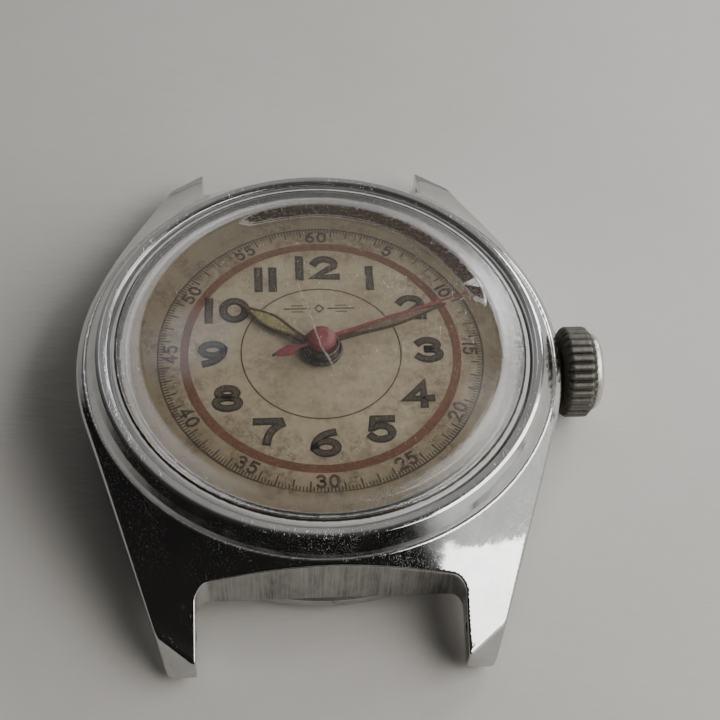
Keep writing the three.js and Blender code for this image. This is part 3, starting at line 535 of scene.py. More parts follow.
def dial_paint():
    """Aged cream paint: browned and darkened by painted shade towards the edge, with blotches, fox
    marks, grain and rubs.
    """
    n = Nodes("dial_paint")
    cloud = n.noise(0.28, 4.0)
    mottle = n.noise(1.3, 5.0, roughness=0.7)
    # Darker towards the edge: partly browned paint, partly painted shade where the rim shades the
    # dial.
    edge = n.levels(n.math("ADD", n.radius(), n.math("MULTIPLY", cloud, 2.4)), 8.6, 12.0)
    colour = n.mix(n.levels(cloud, 0.3, 0.7), (0.235, 0.2, 0.142), (0.17, 0.138, 0.09))
    colour = n.mix(n.levels(mottle, 0.42, 0.72, 0.0, 0.6), colour, (0.115, 0.088, 0.053))
    colour = n.mix(n.math("MULTIPLY", edge, 0.8), colour, (0.085, 0.064, 0.036))
    spots = n.levels(n.cells(1.1), 0.0, 0.15, 1.0, 0.0)
    spots = n.math("MULTIPLY", spots, n.levels(n.noise(0.9, 2.0), 0.48, 0.58))
    colour = n.mix(n.math("MULTIPLY", spots, 0.7), colour, (0.06, 0.042, 0.022))
    patches = n.levels(n.noise(0.5, 2.0), 0.4, 0.55)
    dirty = n.math("MULTIPLY", patches, n.levels(n.radius(), 5.5, 9.5, 0.3, 1.0))
    flecks = n.levels(n.noise(2.1, 5.0, roughness=0.85), 0.48, 0.57)
    flecks = n.math("MULTIPLY", flecks, n.math("MULTIPLY", dirty, 0.8))
    colour = n.mix(flecks, colour, (0.04, 0.028, 0.015))
    stains = n.levels(n.noise(0.8, 3.0), 0.5, 0.62, 0.0, 0.45)
    colour = n.mix(n.math("MULTIPLY", stains, dirty), colour, (0.06, 0.042, 0.02))
    rubs = n.scratches(9.0, 0.6, 18.0)
    colour = n.mix(n.math("MULTIPLY", rubs, 0.35), colour, (0.09, 0.07, 0.045))
    grain = n.noise(14.0, 4.0)
    colour = n.mix(n.levels(grain, 0.3, 0.75, 0.0, 0.2), colour, (0.12, 0.095, 0.06))
    n.set(Base_Color=colour, Specular_IOR_Level=0.25)
    n.set(Roughness=n.levels(grain, 0.3, 0.7, 0.5, 0.65), Normal=n.bump(grain, 0.01))
    return n.material


def print_ink(name, dark, light, wear=0.5, scale=9.0, bump=0.02):
    """Printed paint with speckled wear."""
    n = Nodes(name)
    speck = n.noise(scale, 5.0, roughness=0.75)
    patch = n.noise(0.7, 2.0)
    colour = n.mix(n.levels(speck, 0.42, 0.62), dark, light)
    colour = n.mix(n.levels(patch, 0.5, 0.75, 0.0, wear), colour, tuple(c * 1.6 for c in light))
    n.set(Base_Color=colour, Roughness=0.7, Specular_IOR_Level=0.25)
    n.set(Normal=n.bump(speck, bump))
    return n.material


def oxidised_metal(name, dark, light, metallic=0.7, rough=0.42):
    """Dulled metal or thin paint, speckled between two tones."""
    n = Nodes(name)
    speck = n.noise(4.5, 5.0, roughness=0.7)
    colour = n.mix(n.levels(speck, 0.35, 0.7), dark, light)
    n.set(Base_Color=colour, Metallic=metallic)
    n.set(Roughness=n.levels(speck, 0.3, 0.7, rough * 0.7, rough * 1.3))
    n.set(Normal=n.bump(speck, 0.012))
    return n.material


def plain_metal(name, tint, rough=0.28):
    """Finish of the small movement parts: fine grain and slight tarnish."""
    n = Nodes(name)
    grain = n.noise(7.0, 4.0)
    patch = n.noise(0.8, 3.0)
    colour = n.mix(n.levels(patch, 0.35, 0.7), tint, tuple(c * 0.7 for c in tint))
    n.set(Base_Color=colour, Metallic=1.0)
    n.set(Roughness=n.levels(grain, 0.3, 0.7, rough * 0.7, rough * 1.3))
    n.set(Normal=n.bump(grain, 0.004))
    return n.material


ACRYLIC_IOR = 1.49
# Direction across the dial in which the crystal's bevel edge carries dark marks.
MARKED_SIDE = (0.42, 0.91)


def acrylic():
    """Clear crystal: fine scratches, a scuffed milky bevel, dark bumpy marks along the bevel's
    edge on one side and a grimy foot.
    """
    n = Nodes("acrylic")
    scratch = n.scratches(2.0, 0.66, 22.0)
    deep = n.scratches(6.0, 0.69, 9.0)
    scuffs = n.noise(2.6, 5.0, roughness=0.7)
    bevel = n.levels(n.radius(), BEVEL_RADIUS - 0.12, BEVEL_RADIUS + 0.1)
    side = n.levels(n.math("ABSOLUTE", n.axis(0)), 4.0, 12.5, 0.02, 0.22)
    far = n.levels(n.axis(1), 2.0, 10.0, 0.0, 0.06)
    milk = n.math("MULTIPLY", n.math("ADD", side, far), n.levels(scuffs, 0.3, 0.7, 0.7, 1.15))
    milk = n.math("MULTIPLY", milk, bevel)
    rough = n.math("MULTIPLY", bevel, n.levels(scuffs, 0.3, 0.7, 0.03, 0.16))
    rough = n.math("ADD", rough, n.math("MULTIPLY", scratch, 0.12))
    rough = n.math("ADD", rough, n.math("MULTIPLY", deep, 0.25))
    off_edge = n.math("ABSOLUTE", n.math("SUBTRACT", n.radius(), BEVEL_RADIUS - 0.85))
    near_edge = n.levels(off_edge, 0.3, 0.75, 1.0, 0.0)
    across, up = MARKED_SIDE
    across, up = n.math("MULTIPLY", n.axis(0), across), n.math("MULTIPLY", n.axis(1), up)
    toward = n.math("ADD", across, up)
    # Dark bumpy marks along the bevel's inner edge, only on the marked side.
    edge_marks = n.levels(n.noise(4.5, 5.0, roughness=0.8), 0.41, 0.49)
    edge_marks = n.math("MULTIPLY", edge_marks, n.math("MULTIPLY", near_edge, n.levels(toward, 6.0, 8.5)))
    edge_marks = n.levels(edge_marks, 0.25, 0.4)
    off_foot = n.math("ABSOLUTE", n.math("SUBTRACT", n.radius(), CRYSTAL_FOOT_RADIUS))
    foot = n.levels(n.math("ADD", off_foot, n.math("MULTIPLY", scuffs, 0.12)), 0.1, 0.16, 1.0, 0.0)
    rim = n.levels(n.radius(), CRYSTAL_FOOT_RADIUS + 0.02, CRYSTAL_FOOT_RADIUS + 0.06)
    rim = n.math("MULTIPLY", rim, 0.85)
    dirt = n.math("MAXIMUM", edge_marks, n.levels(foot, 0.4, 0.6))
    colour = n.mix(scuffs, (0.36, 0.36, 0.365), (0.54, 0.54, 0.55))
    colour = n.mix(n.math("MAXIMUM", milk, rim), (0.97, 0.965, 0.95), colour)
    colour = n.mix(dirt, colour, (0.035, 0.024, 0.014))
    solid = n.math("MAXIMUM", n.math("MAXIMUM", milk, rim), dirt)
    n.set(Base_Color=colour, Roughness=rough, IOR=ACRYLIC_IOR)
    n.set(Transmission_Weight=n.math("SUBTRACT", 1.0, solid))
    normal = n.bump(scratch, 0.004, normal=n.bump(n.math("MULTIPLY", scuffs, bevel), 0.02))
    n.set(Normal=n.bump(edge_marks, 0.03, normal=normal))
    return n.material


def ruby():
    """Cloudy synthetic ruby of the jewels."""
    n = Nodes("ruby")
    cloud = n.noise(3.0, 3.0)
    n.set(Base_Color=n.mix(cloud, (0.45, 0.01, 0.06), (0.65, 0.03, 0.12)), Roughness=0.08)
    return n.material


def rubber():
    """Matt black gasket."""
    n = Nodes("rubber")
    grain = n.noise(9.0, 4.0)
    n.set(Base_Color=n.mix(grain, (0.012, 0.012, 0.012), (0.03, 0.028, 0.026)), Roughness=0.8)
    n.set(Normal=n.bump(grain, 0.01))
    return n.material


def crack_face():
    """The face of a crack inside the crystal, which scatters light."""
    n = Nodes("crack_face")
    patch = n.noise(4.0, 3.0)
    n.set(Base_Color=n.mix(patch, (0.34, 0.32, 0.27), (0.5, 0.47, 0.42)), Roughness=0.35)
    n.set(Alpha=n.levels(patch, 0.35, 0.6, 0.15, 0.75))
    return n.material


def floor_paint():
    """Pale matt board with a faint uneven coat."""
    n = Nodes("floor_paint")
    cloud = n.noise(0.02, 3.0)
    coat = n.noise(1.0, 5.0, n.stretch((0.12, 0.45, 1.0)), roughness=0.65)
    colour = n.mix(n.levels(cloud, 0.35, 0.7), (0.60, 0.585, 0.56), (0.54, 0.52, 0.49))
    n.set(Base_Color=colour, Roughness=0.75, Specular_IOR_Level=0.2)
    n.set(Normal=n.bump(coat, 0.12))
    return n.material


PAINTS = {
    "case": case_steel(),
    "bezel": polished_steel("bezel_steel", seed=4.0, low=0.06, high=0.2).material,
    "back": brushed_steel("back_steel", (0.5, 0.49, 0.47)),
    "crown": crown_steel(),
    "crystal": acrylic(),
    "dial": dial_paint(),
    "outline": print_ink("numeral_outline", (0.004, 0.003, 0.0015), (0.014, 0.01, 0.005), 0.0),
    "numeral": print_ink("numeral_lume", (0.011, 0.008, 0.004), (0.05, 0.038, 0.019), 0.1, 6.0),
    "ink": print_ink("track_ink", (0.009, 0.006, 0.003), (0.04, 0.027, 0.016), 0.4),
    "ring": print_ink("ring_paint", (0.052, 0.018, 0.008), (0.08, 0.036, 0.018), 0.3, 5.0),
    "hand": oxidised_metal("hand_metal", (0.022, 0.014, 0.008), (0.085, 0.05, 0.03)),
    "hub": oxidised_metal("hub_metal", (0.012, 0.01, 0.008), (0.07, 0.055, 0.04)),
    "lume": print_ink("hand_lume", (0.075, 0.062, 0.022), (0.16, 0.135, 0.06), 0.1, 7.0, 0.03),
    "brown_lume": print_ink("brown_lume", (0.05, 0.035, 0.02), (0.13, 0.095, 0.055), 0.1, 7.0,
                            0.03),
    "red": oxidised_metal("red_paint", (0.05, 0.003, 0.004), (0.12, 0.008, 0.011), 0.0, 0.5),
    "steel": plain_metal("small_steel", (0.56, 0.56, 0.57)),
    "nickel": plain_metal("movement_nickel", (0.66, 0.63, 0.55), 0.36),
    "blue": plain_metal("blued_steel", (0.03, 0.05, 0.2)),
    "brass": plain_metal("barrel_brass", (0.6, 0.42, 0.17), 0.32),
    "gilt": plain_metal("gilt_brass", (0.72, 0.5, 0.2)),
    "ruby": ruby(),
    "rubber": rubber(),
    "crack": crack_face(),
}

# Paint of each of the record's material slots.
SLOT_PAINTS = {
    "small_steel": "steel", "movement_nickel": "nickel", "blued_steel": "blue",
    "barrel_brass": "brass", "gilt_brass": "gilt", "ruby": "ruby", "gasket": "rubber",
    "brushed_steel": "back",
    "polished_case": "bezel", "crystal": "crystal", "dial_paint": "dial", "hand_frame": "hand",
    "seconds_red": "red", "crown_steel": "crown",
}


def paint_cad_nodes():
    """Gives every CAD node the procedural finish of its material slot."""
    for row in frame["record"]["subparts"]:
        slots = frame["nodes"][row["node"]].data.materials
        slots.clear()
        slots.append(PAINTS[SLOT_PAINTS[row["material_slot"]]])


# ---- Case ----

FLAT_LEDGE_WIDTH = 0.45
SHOULDER_STEP = 0.3
SHOULDER_CURVE = 0.06
# Brings the sloped shoulder's field near a true distance.
SHOULDER_SCALE = 0.72
# The end facet of a lug: its direction, that direction's length, and its height at the tip.
FACET_X, FACET_Y, FACET_Z = 2.7, 3.664, 2.268
FACET_LENGTH = 5.085
FACET_TIP_Z = 2.6
LOWER_BORE_RADIUS = 13.1
UPPER_BORE_RADIUS = 12.6
BORE_STEP_Z = 6.2
TUBE_BORE_RADIUS = 0.93
TUBE_START_X = 12
SPRING_BAR_Y = 17.6
SPRING_BAR_Z = 2.35
SPRING_BAR_RADIUS = 0.4
SPRING_BAR_END_X = 9
CASE_GRID_STEP = 0.12
GRID_MARGIN = 0.4


def case_field(p):
    """Signed field of the mid case with its four lugs, negative inside the metal."""
    x, y, z = p
    ax, ay, r = np.abs(x), np.abs(y), np.hypot(x, y)
    reach = math.hypot(LUG_TIP_X, LUG_TIP_Y)
    tangent = math.atan2(LUG_TIP_Y, LUG_TIP_X) - math.acos(CASE_RADIUS / reach)
    flank = ax * math.cos(tangent) + ay * math.sin(tangent) - CASE_RADIUS
    outline = np.where(np.arctan2(ay, ax) < tangent, r - CASE_RADIUS, flank)
    body = round_cut(outline, ay - LUG_TIP_Y, 0.15)
    out = r - (BEZEL_RADIUS + FLAT_LEDGE_WIDTH)
    top = (z - (LEDGE_Z - SHOULDER_STEP - out + SHOULDER_CURVE * out**2)) * SHOULDER_SCALE
    top = round_cut(top, z - LEDGE_Z, 0.05)
    body = round_cut(body, top, 0.16)
    fall = (CASE_FLOOR_Z - CASE_LOW.z) / (LUG_TIP_Y - LUG_WALL_Y)
    floor = CASE_FLOOR_Z - np.maximum(ay - LUG_WALL_Y, 0) * fall
    body = round_cut(body, floor - z, 0.15)
    gap = round_cut(ax - LUG_HALF_GAP, LUG_WALL_Y - ay, 0.8)
    body = round_cut(body, -gap, 0.13)
    facet = (FACET_X * (ax - LUG_HALF_GAP) + FACET_Y * (ay - LUG_TIP_Y)
             + FACET_Z * (z - FACET_TIP_Z)) / FACET_LENGTH
    body = round_cut(body, facet, 0.12)
    lower_bore = np.maximum(r - LOWER_BORE_RADIUS, z - BORE_STEP_Z)
    bore = np.minimum(lower_bore, r - UPPER_BORE_RADIUS)
    tube = np.maximum(np.hypot(y, z - STEM_Z) - TUBE_BORE_RADIUS, TUBE_START_X - x)
    from_bar = np.hypot(ay - SPRING_BAR_Y, z - SPRING_BAR_Z)
    bar_holes = np.maximum(from_bar - SPRING_BAR_RADIUS, ax - SPRING_BAR_END_X)
    return np.maximum(body, -np.minimum(np.minimum(bore, tube), bar_holes))


def make_case():
    step = CASE_GRID_STEP
    low = (-CASE_RADIUS - GRID_MARGIN, -LUG_TIP_Y - GRID_MARGIN, 0.2)
    high = (CASE_RADIUS + GRID_MARGIN, LUG_TIP_Y + GRID_MARGIN, LEDGE_Z + GRID_MARGIN)
    points, quads = surface_net(case_field, low, high, step)
    points = settle(case_field, points)
    slopes = gradient(case_field, points)
    normals = slopes / np.linalg.norm(slopes, axis=1)[:, None]
    mesh_piece("case_body", points, quads.tolist(), PAINTS["case"], slot="polished_case",
               normals=normals, replaces=["mid_case"])


def make_bezel():
    corners = [
        (13.45, LEDGE_Z, 0.04), (BEZEL_RADIUS, LEDGE_Z, 0.02), (14.9, 6.84, 0.8),
        (14.62, 7.24, 2.0), (14.3, 7.63, 0.14), (14.1, BEZEL_TOP_Z, 0.5), (13.85, 7.7, 0.5),
        (13.62, 7.6, 0.05), (13.56, 7.48, 0.1), (13.5, 7.3, 0.1),
    ]
    lathe("bezel_ring", corners, PAINTS["bezel"], closed=True, slot="polished_case",
          segments=256, replaces=["bezel"])


CRACK_WIDTH = 0.035
CRACK_Z = (8.42, 8.9)


def make_crystal():
    corners = [
        (0, 8.55, 0), (5, 8.4, 30), (9.2, 7.98, 20), (11.4, 7.6, 2.0), (12.05, 7.4, 0.6),
        (12.4, 7.1, 0.3), (12.5, LEDGE_Z, 0.03), (CRYSTAL_RADIUS, LEDGE_Z, 0.03),
        (CRYSTAL_RADIUS, 7.42, 0.05), (13.3, 7.5, 0.05), (CRYSTAL_FOOT_RADIUS, 7.54, 0.02),
        (12.95, 7.66, 0.1), (BEVEL_RADIUS, 8.02, 0.05), (9.5, 8.42, 14), (5, 8.97, 30),
        (0, CRYSTAL_TOP_Z, 0),
    ]
    crystal = lathe("crystal_dome", corners, PAINTS["crystal"], slot="crystal", segments=256,
                    steps=8, replaces=["crystal"])
    crystal.visible_shadow = False
    route = [(-1.45, 3.95), (-1.2, 2.6), (-0.75, 1.35), (-0.5, 0.1), (-0.15, -1.3),
             (0.25, -2.2), (0.6, -3.1)]
    crack = strokes_piece("crystal_crack", [(route, CRACK_WIDTH)], *CRACK_Z, PAINTS["crack"],
                          slot="crystal")
    crack.visible_shadow = False


def make_back():
    corners = [
        (0, 0, 0), (11, 0, 0.6), (13.3, 0.12, 1.5), (14.7, 0.4, 0.8), (BACK_RADIUS, 0.95, 0.4),
        (BACK_RADIUS, 1.6, 0.3), (14.95, CASE_FLOOR_Z, 0.05), (13, CASE_FLOOR_Z, 0.05),
        (13, 3, 0.05), (12.6, 3, 0.05), (12.6, 1.1, 0.1), (11.6, 0.7, 0.3), (0, 0.7, 0),
    ]
    lathe("case_back_shell", corners, PAINTS["back"], slot="brushed_steel", replaces=["case_back"])


# ---- Crown ----

FLUTE_DEPTH = 0.3
POINTS_PER_FLUTE = 12
# Power that makes the ridges rounder and the valleys between them narrower.
RIDGE_POWER = 0.55


def ramp(value, start, length):
    """Rises from 0 to 1 over a length from the start."""
    return np.clip((value - start) / length, 0, 1)


def make_crown():
    """A fluted knob: ridges between chamfers, a smooth domed end and a recess for the tube."""
    profile, _ = rounded([
        (0.48, 18.25, 0.02), (0.48, 17.1, 0.02), (1.05, 17.1, 0.05), (1.05, CROWN_START_X, 0.05),
        (2.4, CROWN_START_X, 0.15), (CROWN_RADIUS, 16.35, 0.3), (CROWN_RADIUS, 17.75, 0.12),
        (2.62, 18.12, 0.1), (2.55, 18.38, 0.15), (2.3, 18.62, 0.3), (1.5, 18.82, 1.5),
        (0, CROWN_END_X, 0),
    ], steps=5)
    dense = [profile[0]]
    for start, end in zip(profile, profile[1:]):
        pieces = max(1, int(np.linalg.norm(end - start) / 0.12))
        dense.extend(start + (end - start) * (k + 1) / pieces for k in range(pieces))
    around = CROWN_FLUTES * POINTS_PER_FLUTE
    points, rows = [], []
    for radius, x in dense:
        if radius < 1e-6:
            rows.append([len(points)] * around)
            points.append((x, 0, STEM_Z))
            continue
        deep = FLUTE_DEPTH * ramp(radius, 2.5, 0.35) * ramp(x, 16.0, 0.3) * ramp(-x, -18.15, 0.2)
        rows.append(list(range(len(points), len(points) + around)))
        for k in range(around):
            turn = 2 * math.pi * k / around
            ridge = abs(math.cos(turn * CROWN_FLUTES / 2)) ** RIDGE_POWER
            reach = radius - deep * (1 - ridge)
            points.append((x, reach * math.cos(turn), STEM_Z + reach * math.sin(turn)))
    faces = []
    for low, high in zip(rows, rows[1:]):
        for k in range(around):
            n = (k + 1) % around
            faces.append(list(dict.fromkeys([low[k], low[n], high[n], high[k]])))
    faces.append(rows[0][::-1])
    mesh_piece("crown_knob", points, faces, PAINTS["crown"], body="crown_and_stem",
               slot="crown_steel", replaces=["crown"])


# ---- Dial ----

DIAL_HOLE_RADIUS = 1.05
DIAL_THICKNESS = 0.4
PRINT_Z = (DIAL_TOP_Z + 0.002, DIAL_TOP_Z + 0.014)
SECONDS_PER_TURN = 60
HOUR_RADIUS = 6.95
INNER_CIRCLE_RADIUS = 5.13
HOUR_RING_RADIUS = 8.78
TRACK_RADIUS = 10.46
TRACK_NUMERAL_RADIUS = 9.66
LONG_TICK, SHORT_TICK = 0.72, 0.34
ORNAMENT_Y = 3.5
ORNAMENT_PEN = 0.09
HOUR_TALL = 1.52
LUME_PEN = 0.28


def make_dial():
    low = DIAL_TOP_Z - DIAL_THICKNESS
    corners = [
        (DIAL_HOLE_RADIUS, low, 0.02), (DIAL_RADIUS, low, 0.03),
        (DIAL_RADIUS, DIAL_TOP_Z, 0.05), (DIAL_HOLE_RADIUS, DIAL_TOP_Z, 0.03),
    ]
    lathe("dial_face", corners, PAINTS["dial"], closed=True, slot="dial_paint", replaces=["dial"])


def printed(name, strokes, paint, raised=0.0):
    """Strokes printed on the dial; raised lifts their top a little over what they cross."""
    low, high = PRINT_Z
    strokes_piece(name, strokes, low, high + raised, PAINTS[paint], square_ends=1,
                  slot="dial_paint")


def on_dial(clockwise, radius):
    """Plan point at an angle in degrees clockwise from 12 o'clock."""
    angle = math.radians(clockwise)
    return radius * math.sin(angle), radius * math.cos(angle)


def make_tracks():
    """Circles, the fifth-of-a-second scale and a small ornament under 12 o'clock."""
    printed("inner_circle", [(circle(INNER_CIRCLE_RADIUS), 0.085)], "ink")
    printed("hour_ring", [(circle(HOUR_RING_RADIUS), 0.58)], "ring")
    printed("outer_circle", [(circle(TRACK_RADIUS), 0.11)], "ink", 0.001)
    ticks = []
    for fifth in range(SECONDS_PER_TURN * 5):
        whole = fifth % 5 == 0
        from_numeral = min(fifth % 25, 25 - fifth % 25)
        length = LONG_TICK if whole and from_numeral > 3 else SHORT_TICK
        ends = [on_dial(fifth * 1.2, TRACK_RADIUS - length), on_dial(fifth * 1.2, TRACK_RADIUS)]
        ticks.append((ends, 0.1 if whole else 0.075))
    printed("seconds_ticks", ticks, "ink")
    y, half = ORNAMENT_Y, 0.3
    lozenge = [(half, y), (0, y + half), (-half, y), (0, y - half), (half, y)]
    ornament = [(lozenge, ORNAMENT_PEN)]
    for side in (-1, 1):
        ornament.append(([(side * 0.6, y), (side * 2.3, y)], ORNAMENT_PEN))
        ornament.append(([(side * 1.1, y - 0.25), (side * 1.8, y - 0.25)], 0.07))
        ornament.append(([(side * 1.1, y + 0.25), (side * 1.8, y + 0.25)], 0.07))
    printed("dial_ornament", ornament, "ink")


# Centre lines of the figures in a box one unit wide and one unit tall.
GLYPHS = {
    "0": [arc(0, 0, 0.5, 0.5, 90, 450, 29)],
    "1": [[(0, -0.5), (0, 0.5)]],
    "2": [arc(0, 0.2, 0.46, 0.3, 160, -30) + [(-0.42, -0.5), (0.52, -0.5)]],
    "3": [arc(-0.04, 0.26, 0.42, 0.24, 150, -88), arc(-0.02, -0.23, 0.48, 0.27, 92, -150)],
    "4": [[(0.2, -0.5), (0.2, 0.5), (-0.5, -0.2), (0.5, -0.2)]],
    "5": [[(0.42, 0.5), (-0.3, 0.5), (-0.36, 0.08)] + arc(-0.02, -0.16, 0.46, 0.34, 135, -150)],
    "6": [arc(0, -0.2, 0.46, 0.3, 180, 540, 25), arc(0.5, -0.2, 0.96, 0.72, 180, 103, 10)],
    "7": [[(-0.48, 0.5), (0.46, 0.5)] + arc(0.9, -0.62, 1.0, 1.05, 113, 173, 8)],
    "8": [arc(0, 0.27, 0.38, 0.23, 90, 450, 25), arc(0, -0.23, 0.48, 0.27, 90, 450, 25)],
}
GLYPHS["9"] = [[(-x, -y) for x, y in line] for line in GLYPHS["6"]]


def number(text, x, y, wide, tall, pen, turn=0.0, spread=1.0):
    """Strokes of a number centred on a point; a 1 takes up only its own stroke."""
    widths = [0 if figure == "1" else wide for figure in text]
    gap = spread * pen * 1.6
    start = -(sum(widths) + gap * (len(text) - 1)) / 2
    cosine, sine = math.cos(math.radians(turn)), math.sin(math.radians(turn))
    strokes = []
    for figure, width in zip(text, widths):
        for line in GLYPHS[figure]:
            placed = [(start + width / 2 + a * width, b * tall) for a, b in line]
            placed = [(x + a * cosine - b * sine, y + a * sine + b * cosine) for a, b in placed]
            strokes.append((placed, pen))
        start += width + gap
    return strokes


def make_numerals():
    """Outlined hour figures filled with lume, and small seconds figures that stay readable."""
    outlines, fillings = [], []
    for hour in range(1, 13):
        x, y = on_dial(hour * 30, HOUR_RADIUS)
        wide, pen = (1.5, 0.54) if hour < 10 else (1.45, 0.56)
        outlines += number(str(hour), x, y, wide, HOUR_TALL, pen, spread=1.05)
        spread = 1.05 * pen / LUME_PEN
        fillings += number(str(hour), x, y, wide, HOUR_TALL, LUME_PEN, spread=spread)
    printed("hour_numerals", outlines, "outline")
    printed("hour_numeral_lume", fillings, "numeral", 0.02)
    seconds = []
    for second in range(5, SECONDS_PER_TURN + 1, 5):
        x, y = on_dial(second * 6, TRACK_NUMERAL_RADIUS)
        upside_down = 15 < second < 45
        turn = -second * 6 + (180 if upside_down else 0)
        seconds += number(str(second), x, y, 0.5, 0.78, 0.18, turn)
    printed("seconds_numerals", seconds, "ink", 0.002)


# ---- Hands ----

HUB_SEGMENTS = 96


def leaf(outline, reach):
    """Both sides of a hand that points along +X, from (distance, half width) stations."""
    stations = np.array([*outline, (reach, 0.03)])
    xs = np.linspace(stations[0, 0], reach, 40)
    halves = smooth_through(stations, xs)
    return [(x, -h) for x, h in zip(xs, halves)] + [(x, h) for x, h in zip(xs[::-1], halves[::-1])]


def smooth_through(stations, xs):
    """Monotone smooth interpolation of the station widths."""
    values = np.interp(xs, stations[:, 0], stations[:, 1])
    padded = np.pad(values, 3, mode="edge")
    return np.convolve(padded, np.ones(7) / 7, mode="valid")


def make_hand(name, node, body, angle, low_z, blade, window, lume, hub, bore, reach):
    """A leaf-shaped hand along an angle: a metal frame, the lume in its window and a boss."""
    pane = leaf(window[:-1], window[-1][0])
    options = {"turn": angle, "body": body, "slot": "hand_frame"}
    flat_piece(name + "_frame", [leaf(blade, reach), pane], low_z, low_z + 0.12, PAINTS["hand"],
               bevel=0.02, replaces=[node], **options)
    flat_piece(name + "_lume", [pane], low_z + 0.02, low_z + 0.105, PAINTS[lume], **options)
    corners = [
        (bore, low_z - 0.02, 0.02), (hub, low_z - 0.02, 0.03), (hub, low_z + 0.16, 0.05),
        (hub - 0.12, low_z + 0.22, 0.05), (hub - 0.16, low_z + 0.15, 0.03),
        (bore + 0.12, low_z + 0.15, 0.03), (bore + 0.1, low_z + 0.3, 0.04),
        (bore, low_z + 0.3, 0.02),
    ]
    lathe(name + "_boss", corners, PAINTS["hub"], closed=True, segments=HUB_SEGMENTS, body=body,
          slot="hand_frame")


def make_hands():
    make_hand("hour", "hour_hand", "hour", HOUR_HAND_ANGLE, HOUR_HAND_Z,
              blade=[(1.1, 0.26), (1.9, 0.27), (3.8, 0.62), (4.7, 0.5)],
              window=[(2.0, 0.06), (3.8, 0.44), (4.6, 0.34), (5.5, 0.03)],
              lume="lume", hub=1.38, bore=0.97, reach=6.2)
    make_hand("minute", "minute_hand", "centre", MINUTE_HAND_ANGLE, MINUTE_HAND_Z,
              blade=[(0.95, 0.24), (2, 0.25), (5.0, 0.48), (6.8, 0.33)],
              window=[(2.4, 0.06), (5.0, 0.31), (6.6, 0.2), (8.0, 0.03)],
              lume="brown_lume", hub=1.17, bore=0.64, reach=8.9)
    z_range = (SECONDS_HAND_Z, SECONDS_HAND_Z + 0.1)
    options = {"body": "seconds", "slot": "seconds_red"}
    blade = [(0.4, -0.14), (10.6, -0.05), (10.6, 0.05), (0.4, 0.14), (-1.6, 0.1), (-2.2, 0.4),
             (-2.8, 0.27), (-3.15, 0.13), (-3.15, -0.13), (-2.8, -0.27), (-2.2, -0.4),
             (-1.6, -0.1)]
    flat_piece("seconds_blade", [blade], *z_range, PAINTS["red"], bevel=0.015,
               turn=SECONDS_HAND_ANGLE, **options)
    tip = [(-3.12, -0.13), (-3.12, 0.13), (-3.4, 0.03), (-3.4, -0.03)]
    flat_piece("seconds_tail_tip", [tip], *z_range, PAINTS["hub"], bevel=0.01,
               turn=SECONDS_HAND_ANGLE, **options)
    corners = [
        (0, HUB_LOW_Z, 0), (0.9, HUB_LOW_Z, 0.03), (0.94, 7.55, 0.1), (0.8, 7.8, 0.12),
        (0.42, HUB_TOP_Z - 0.02, 0.3), (0, HUB_TOP_Z, 0),
    ]
    lathe("seconds_hub", corners, PAINTS["red"], segments=HUB_SEGMENTS,
          replaces=["seconds_hand"], **options)


# ---- Studio ----

# The photograph's viewpoint: its place, and its turns about X, Y and Z in degrees.
CAMERA_PLACE = Vector((-3.742, -49.867, 74.091))
CAMERA_TURNS = (36.0786, -2.765, -3.4168)
CAMERA_LENS = 65
SENSOR_WIDTH = 36
CLIP_RANGE = (0.001, 10)
FLOOR_SIZE = 1.6
# Name, place and size in metres, radiance and colour.
LIGHTS = [
    ("window", (0.135, -0.036, 0.125), (0.215, 0.115), 4.9, (1.0, 0.985, 0.96)),
    ("far_window", (0.125, 0.14, 0.1), (0.07, 0.06), 10.0, (0.95, 0.97, 1.0)),
]
# Direction, inner and outer angle in degrees, and colour of each soft patch of the room.
ROOM_PATCHES = [
    ((0, 0, 1), 0, 180, (0.022, 0.021, 0.02)),
    ((0.3, 0.75, 0.6), 35, 85, (0.07, 0.068, 0.065)),
    ((0.1, 1, 0.12), 20, 75, (0.32, 0.31, 0.295)),
    ((0.1, 0.5, 0.86), 8, 24, (0.06, 0.06, 0.06)),
    ((0.9, -0.2, 0.1), 22, 45, (1.0, 1.0, 0.98)),
    ((0.52, 0.36, 0.78), 2, 11, (1.3, 1.3, 1.3)),
    ((-0.27, 0.585, 0.77), 1, 8, (0.7, 0.8, 0.95)),
]
BACKDROP_COLOUR = (0.42, 0.41, 0.40, 1)


def make_studio():
    make_camera()
    make_floor()
    for name, place, size, brightness, colour in LIGHTS:
        area_light(name, Vector(place), size, brightness, colour)
    make_room()


def make_camera():
    data = bpy.data.cameras.new("camera")
    data.sensor_width = SENSOR_WIDTH
    data.lens = CAMERA_LENS
    data.clip_start, data.clip_end = CLIP_RANGE
    camera = bpy.data.objects.new("camera", data)
    bpy.context.scene.collection.objects.link(camera)
    turns = Euler([math.radians(turn) for turn in CAMERA_TURNS])
    camera.matrix_world = Matrix.Translation(CAMERA_PLACE * METRE) @ turns.to_matrix().to_4x4()
    bpy.context.scene.camera = camera


def make_floor():
    bpy.ops.mesh.primitive_grid_add(x_subdivisions=8, y_subdivisions=8, size=FLOOR_SIZE)
    floor = bpy.context.object
    floor.name = "floor"
    floor.data.materials.append(floor_paint())


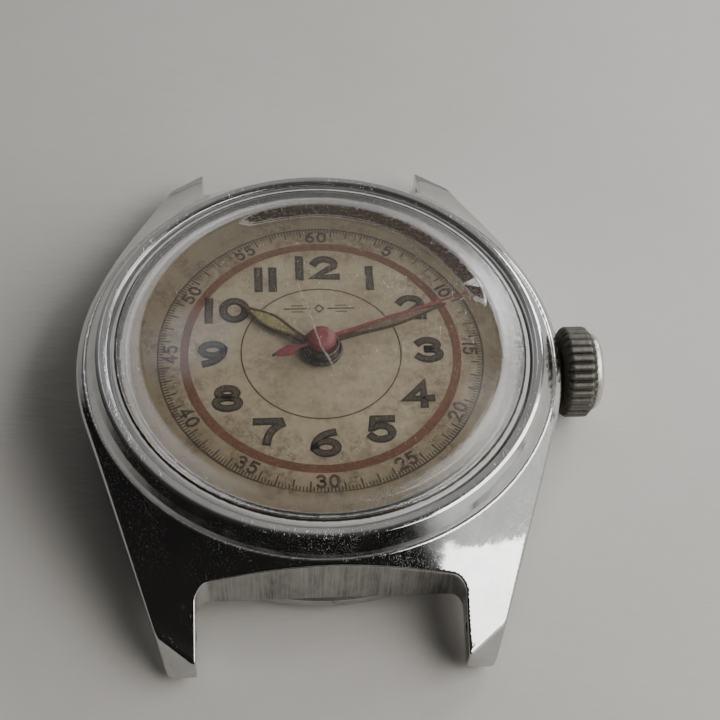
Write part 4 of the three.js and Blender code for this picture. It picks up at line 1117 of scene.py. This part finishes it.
def area_light(name, place, size, brightness, colour):
    """A soft rectangular light facing the watch; brightness is the radiance of its face."""
    data = bpy.data.lights.new(name, "AREA")
    data.shape = "RECTANGLE"
    data.size, data.size_y = size
    data.energy = brightness * math.pi * size[0] * size[1]
    data.color = colour
    light = bpy.data.objects.new(name, data)
    light.location = place
    light.rotation_euler = (-place).to_track_quat("-Z", "Y").to_euler()
    bpy.context.scene.collection.objects.link(light)


def make_room():
    """The dim room seen in the polished metal; the camera itself sees a plain backdrop."""
    world = bpy.data.worlds.new("room")
    bpy.context.scene.world = world
    world.use_nodes = True
    tree = world.node_tree
    tree.nodes.clear()
    coordinates = tree.nodes.new("ShaderNodeTexCoord")
    total = None
    for toward, inner, outer, colour in ROOM_PATCHES:
        facing = tree.nodes.new("ShaderNodeVectorMath")
        facing.operation = "DOT_PRODUCT"
        facing.inputs[1].default_value = Vector(toward).normalized()
        tree.links.new(coordinates.outputs["Generated"], facing.inputs[0])
        share = tree.nodes.new("ShaderNodeMapRange")
        share.interpolation_type = "SMOOTHSTEP"
        share.inputs["From Min"].default_value = math.cos(math.radians(outer))
        share.inputs["From Max"].default_value = math.cos(math.radians(inner))
        tree.links.new(facing.outputs["Value"], share.inputs["Value"])
        patch = tree.nodes.new("ShaderNodeVectorMath")
        patch.operation = "SCALE"
        patch.inputs[0].default_value = colour
        tree.links.new(share.outputs["Result"], patch.inputs["Scale"])
        if total is None:
            total = patch.outputs[0]
            continue
        added = tree.nodes.new("ShaderNodeVectorMath")
        added.operation = "ADD"
        tree.links.new(total, added.inputs[0])
        tree.links.new(patch.outputs[0], added.inputs[1])
        total = added.outputs[0]
    background = tree.nodes.new("ShaderNodeBackground")
    backdrop = tree.nodes.new("ShaderNodeBackground")
    backdrop.inputs["Color"].default_value = BACKDROP_COLOUR
    path = tree.nodes.new("ShaderNodeLightPath")
    chosen = tree.nodes.new("ShaderNodeMixShader")
    output = tree.nodes.new("ShaderNodeOutputWorld")
    tree.links.new(total, background.inputs["Color"])
    tree.links.new(path.outputs["Is Camera Ray"], chosen.inputs[0])
    tree.links.new(background.outputs[0], chosen.inputs[1])
    tree.links.new(backdrop.outputs[0], chosen.inputs[2])
    tree.links.new(chosen.outputs[0], output.inputs["Surface"])


make_studio()
paint_cad_nodes()
make_case()
make_bezel()
make_crystal()
make_back()
make_crown()
make_dial()
make_tracks()
make_numerals()
make_hands()
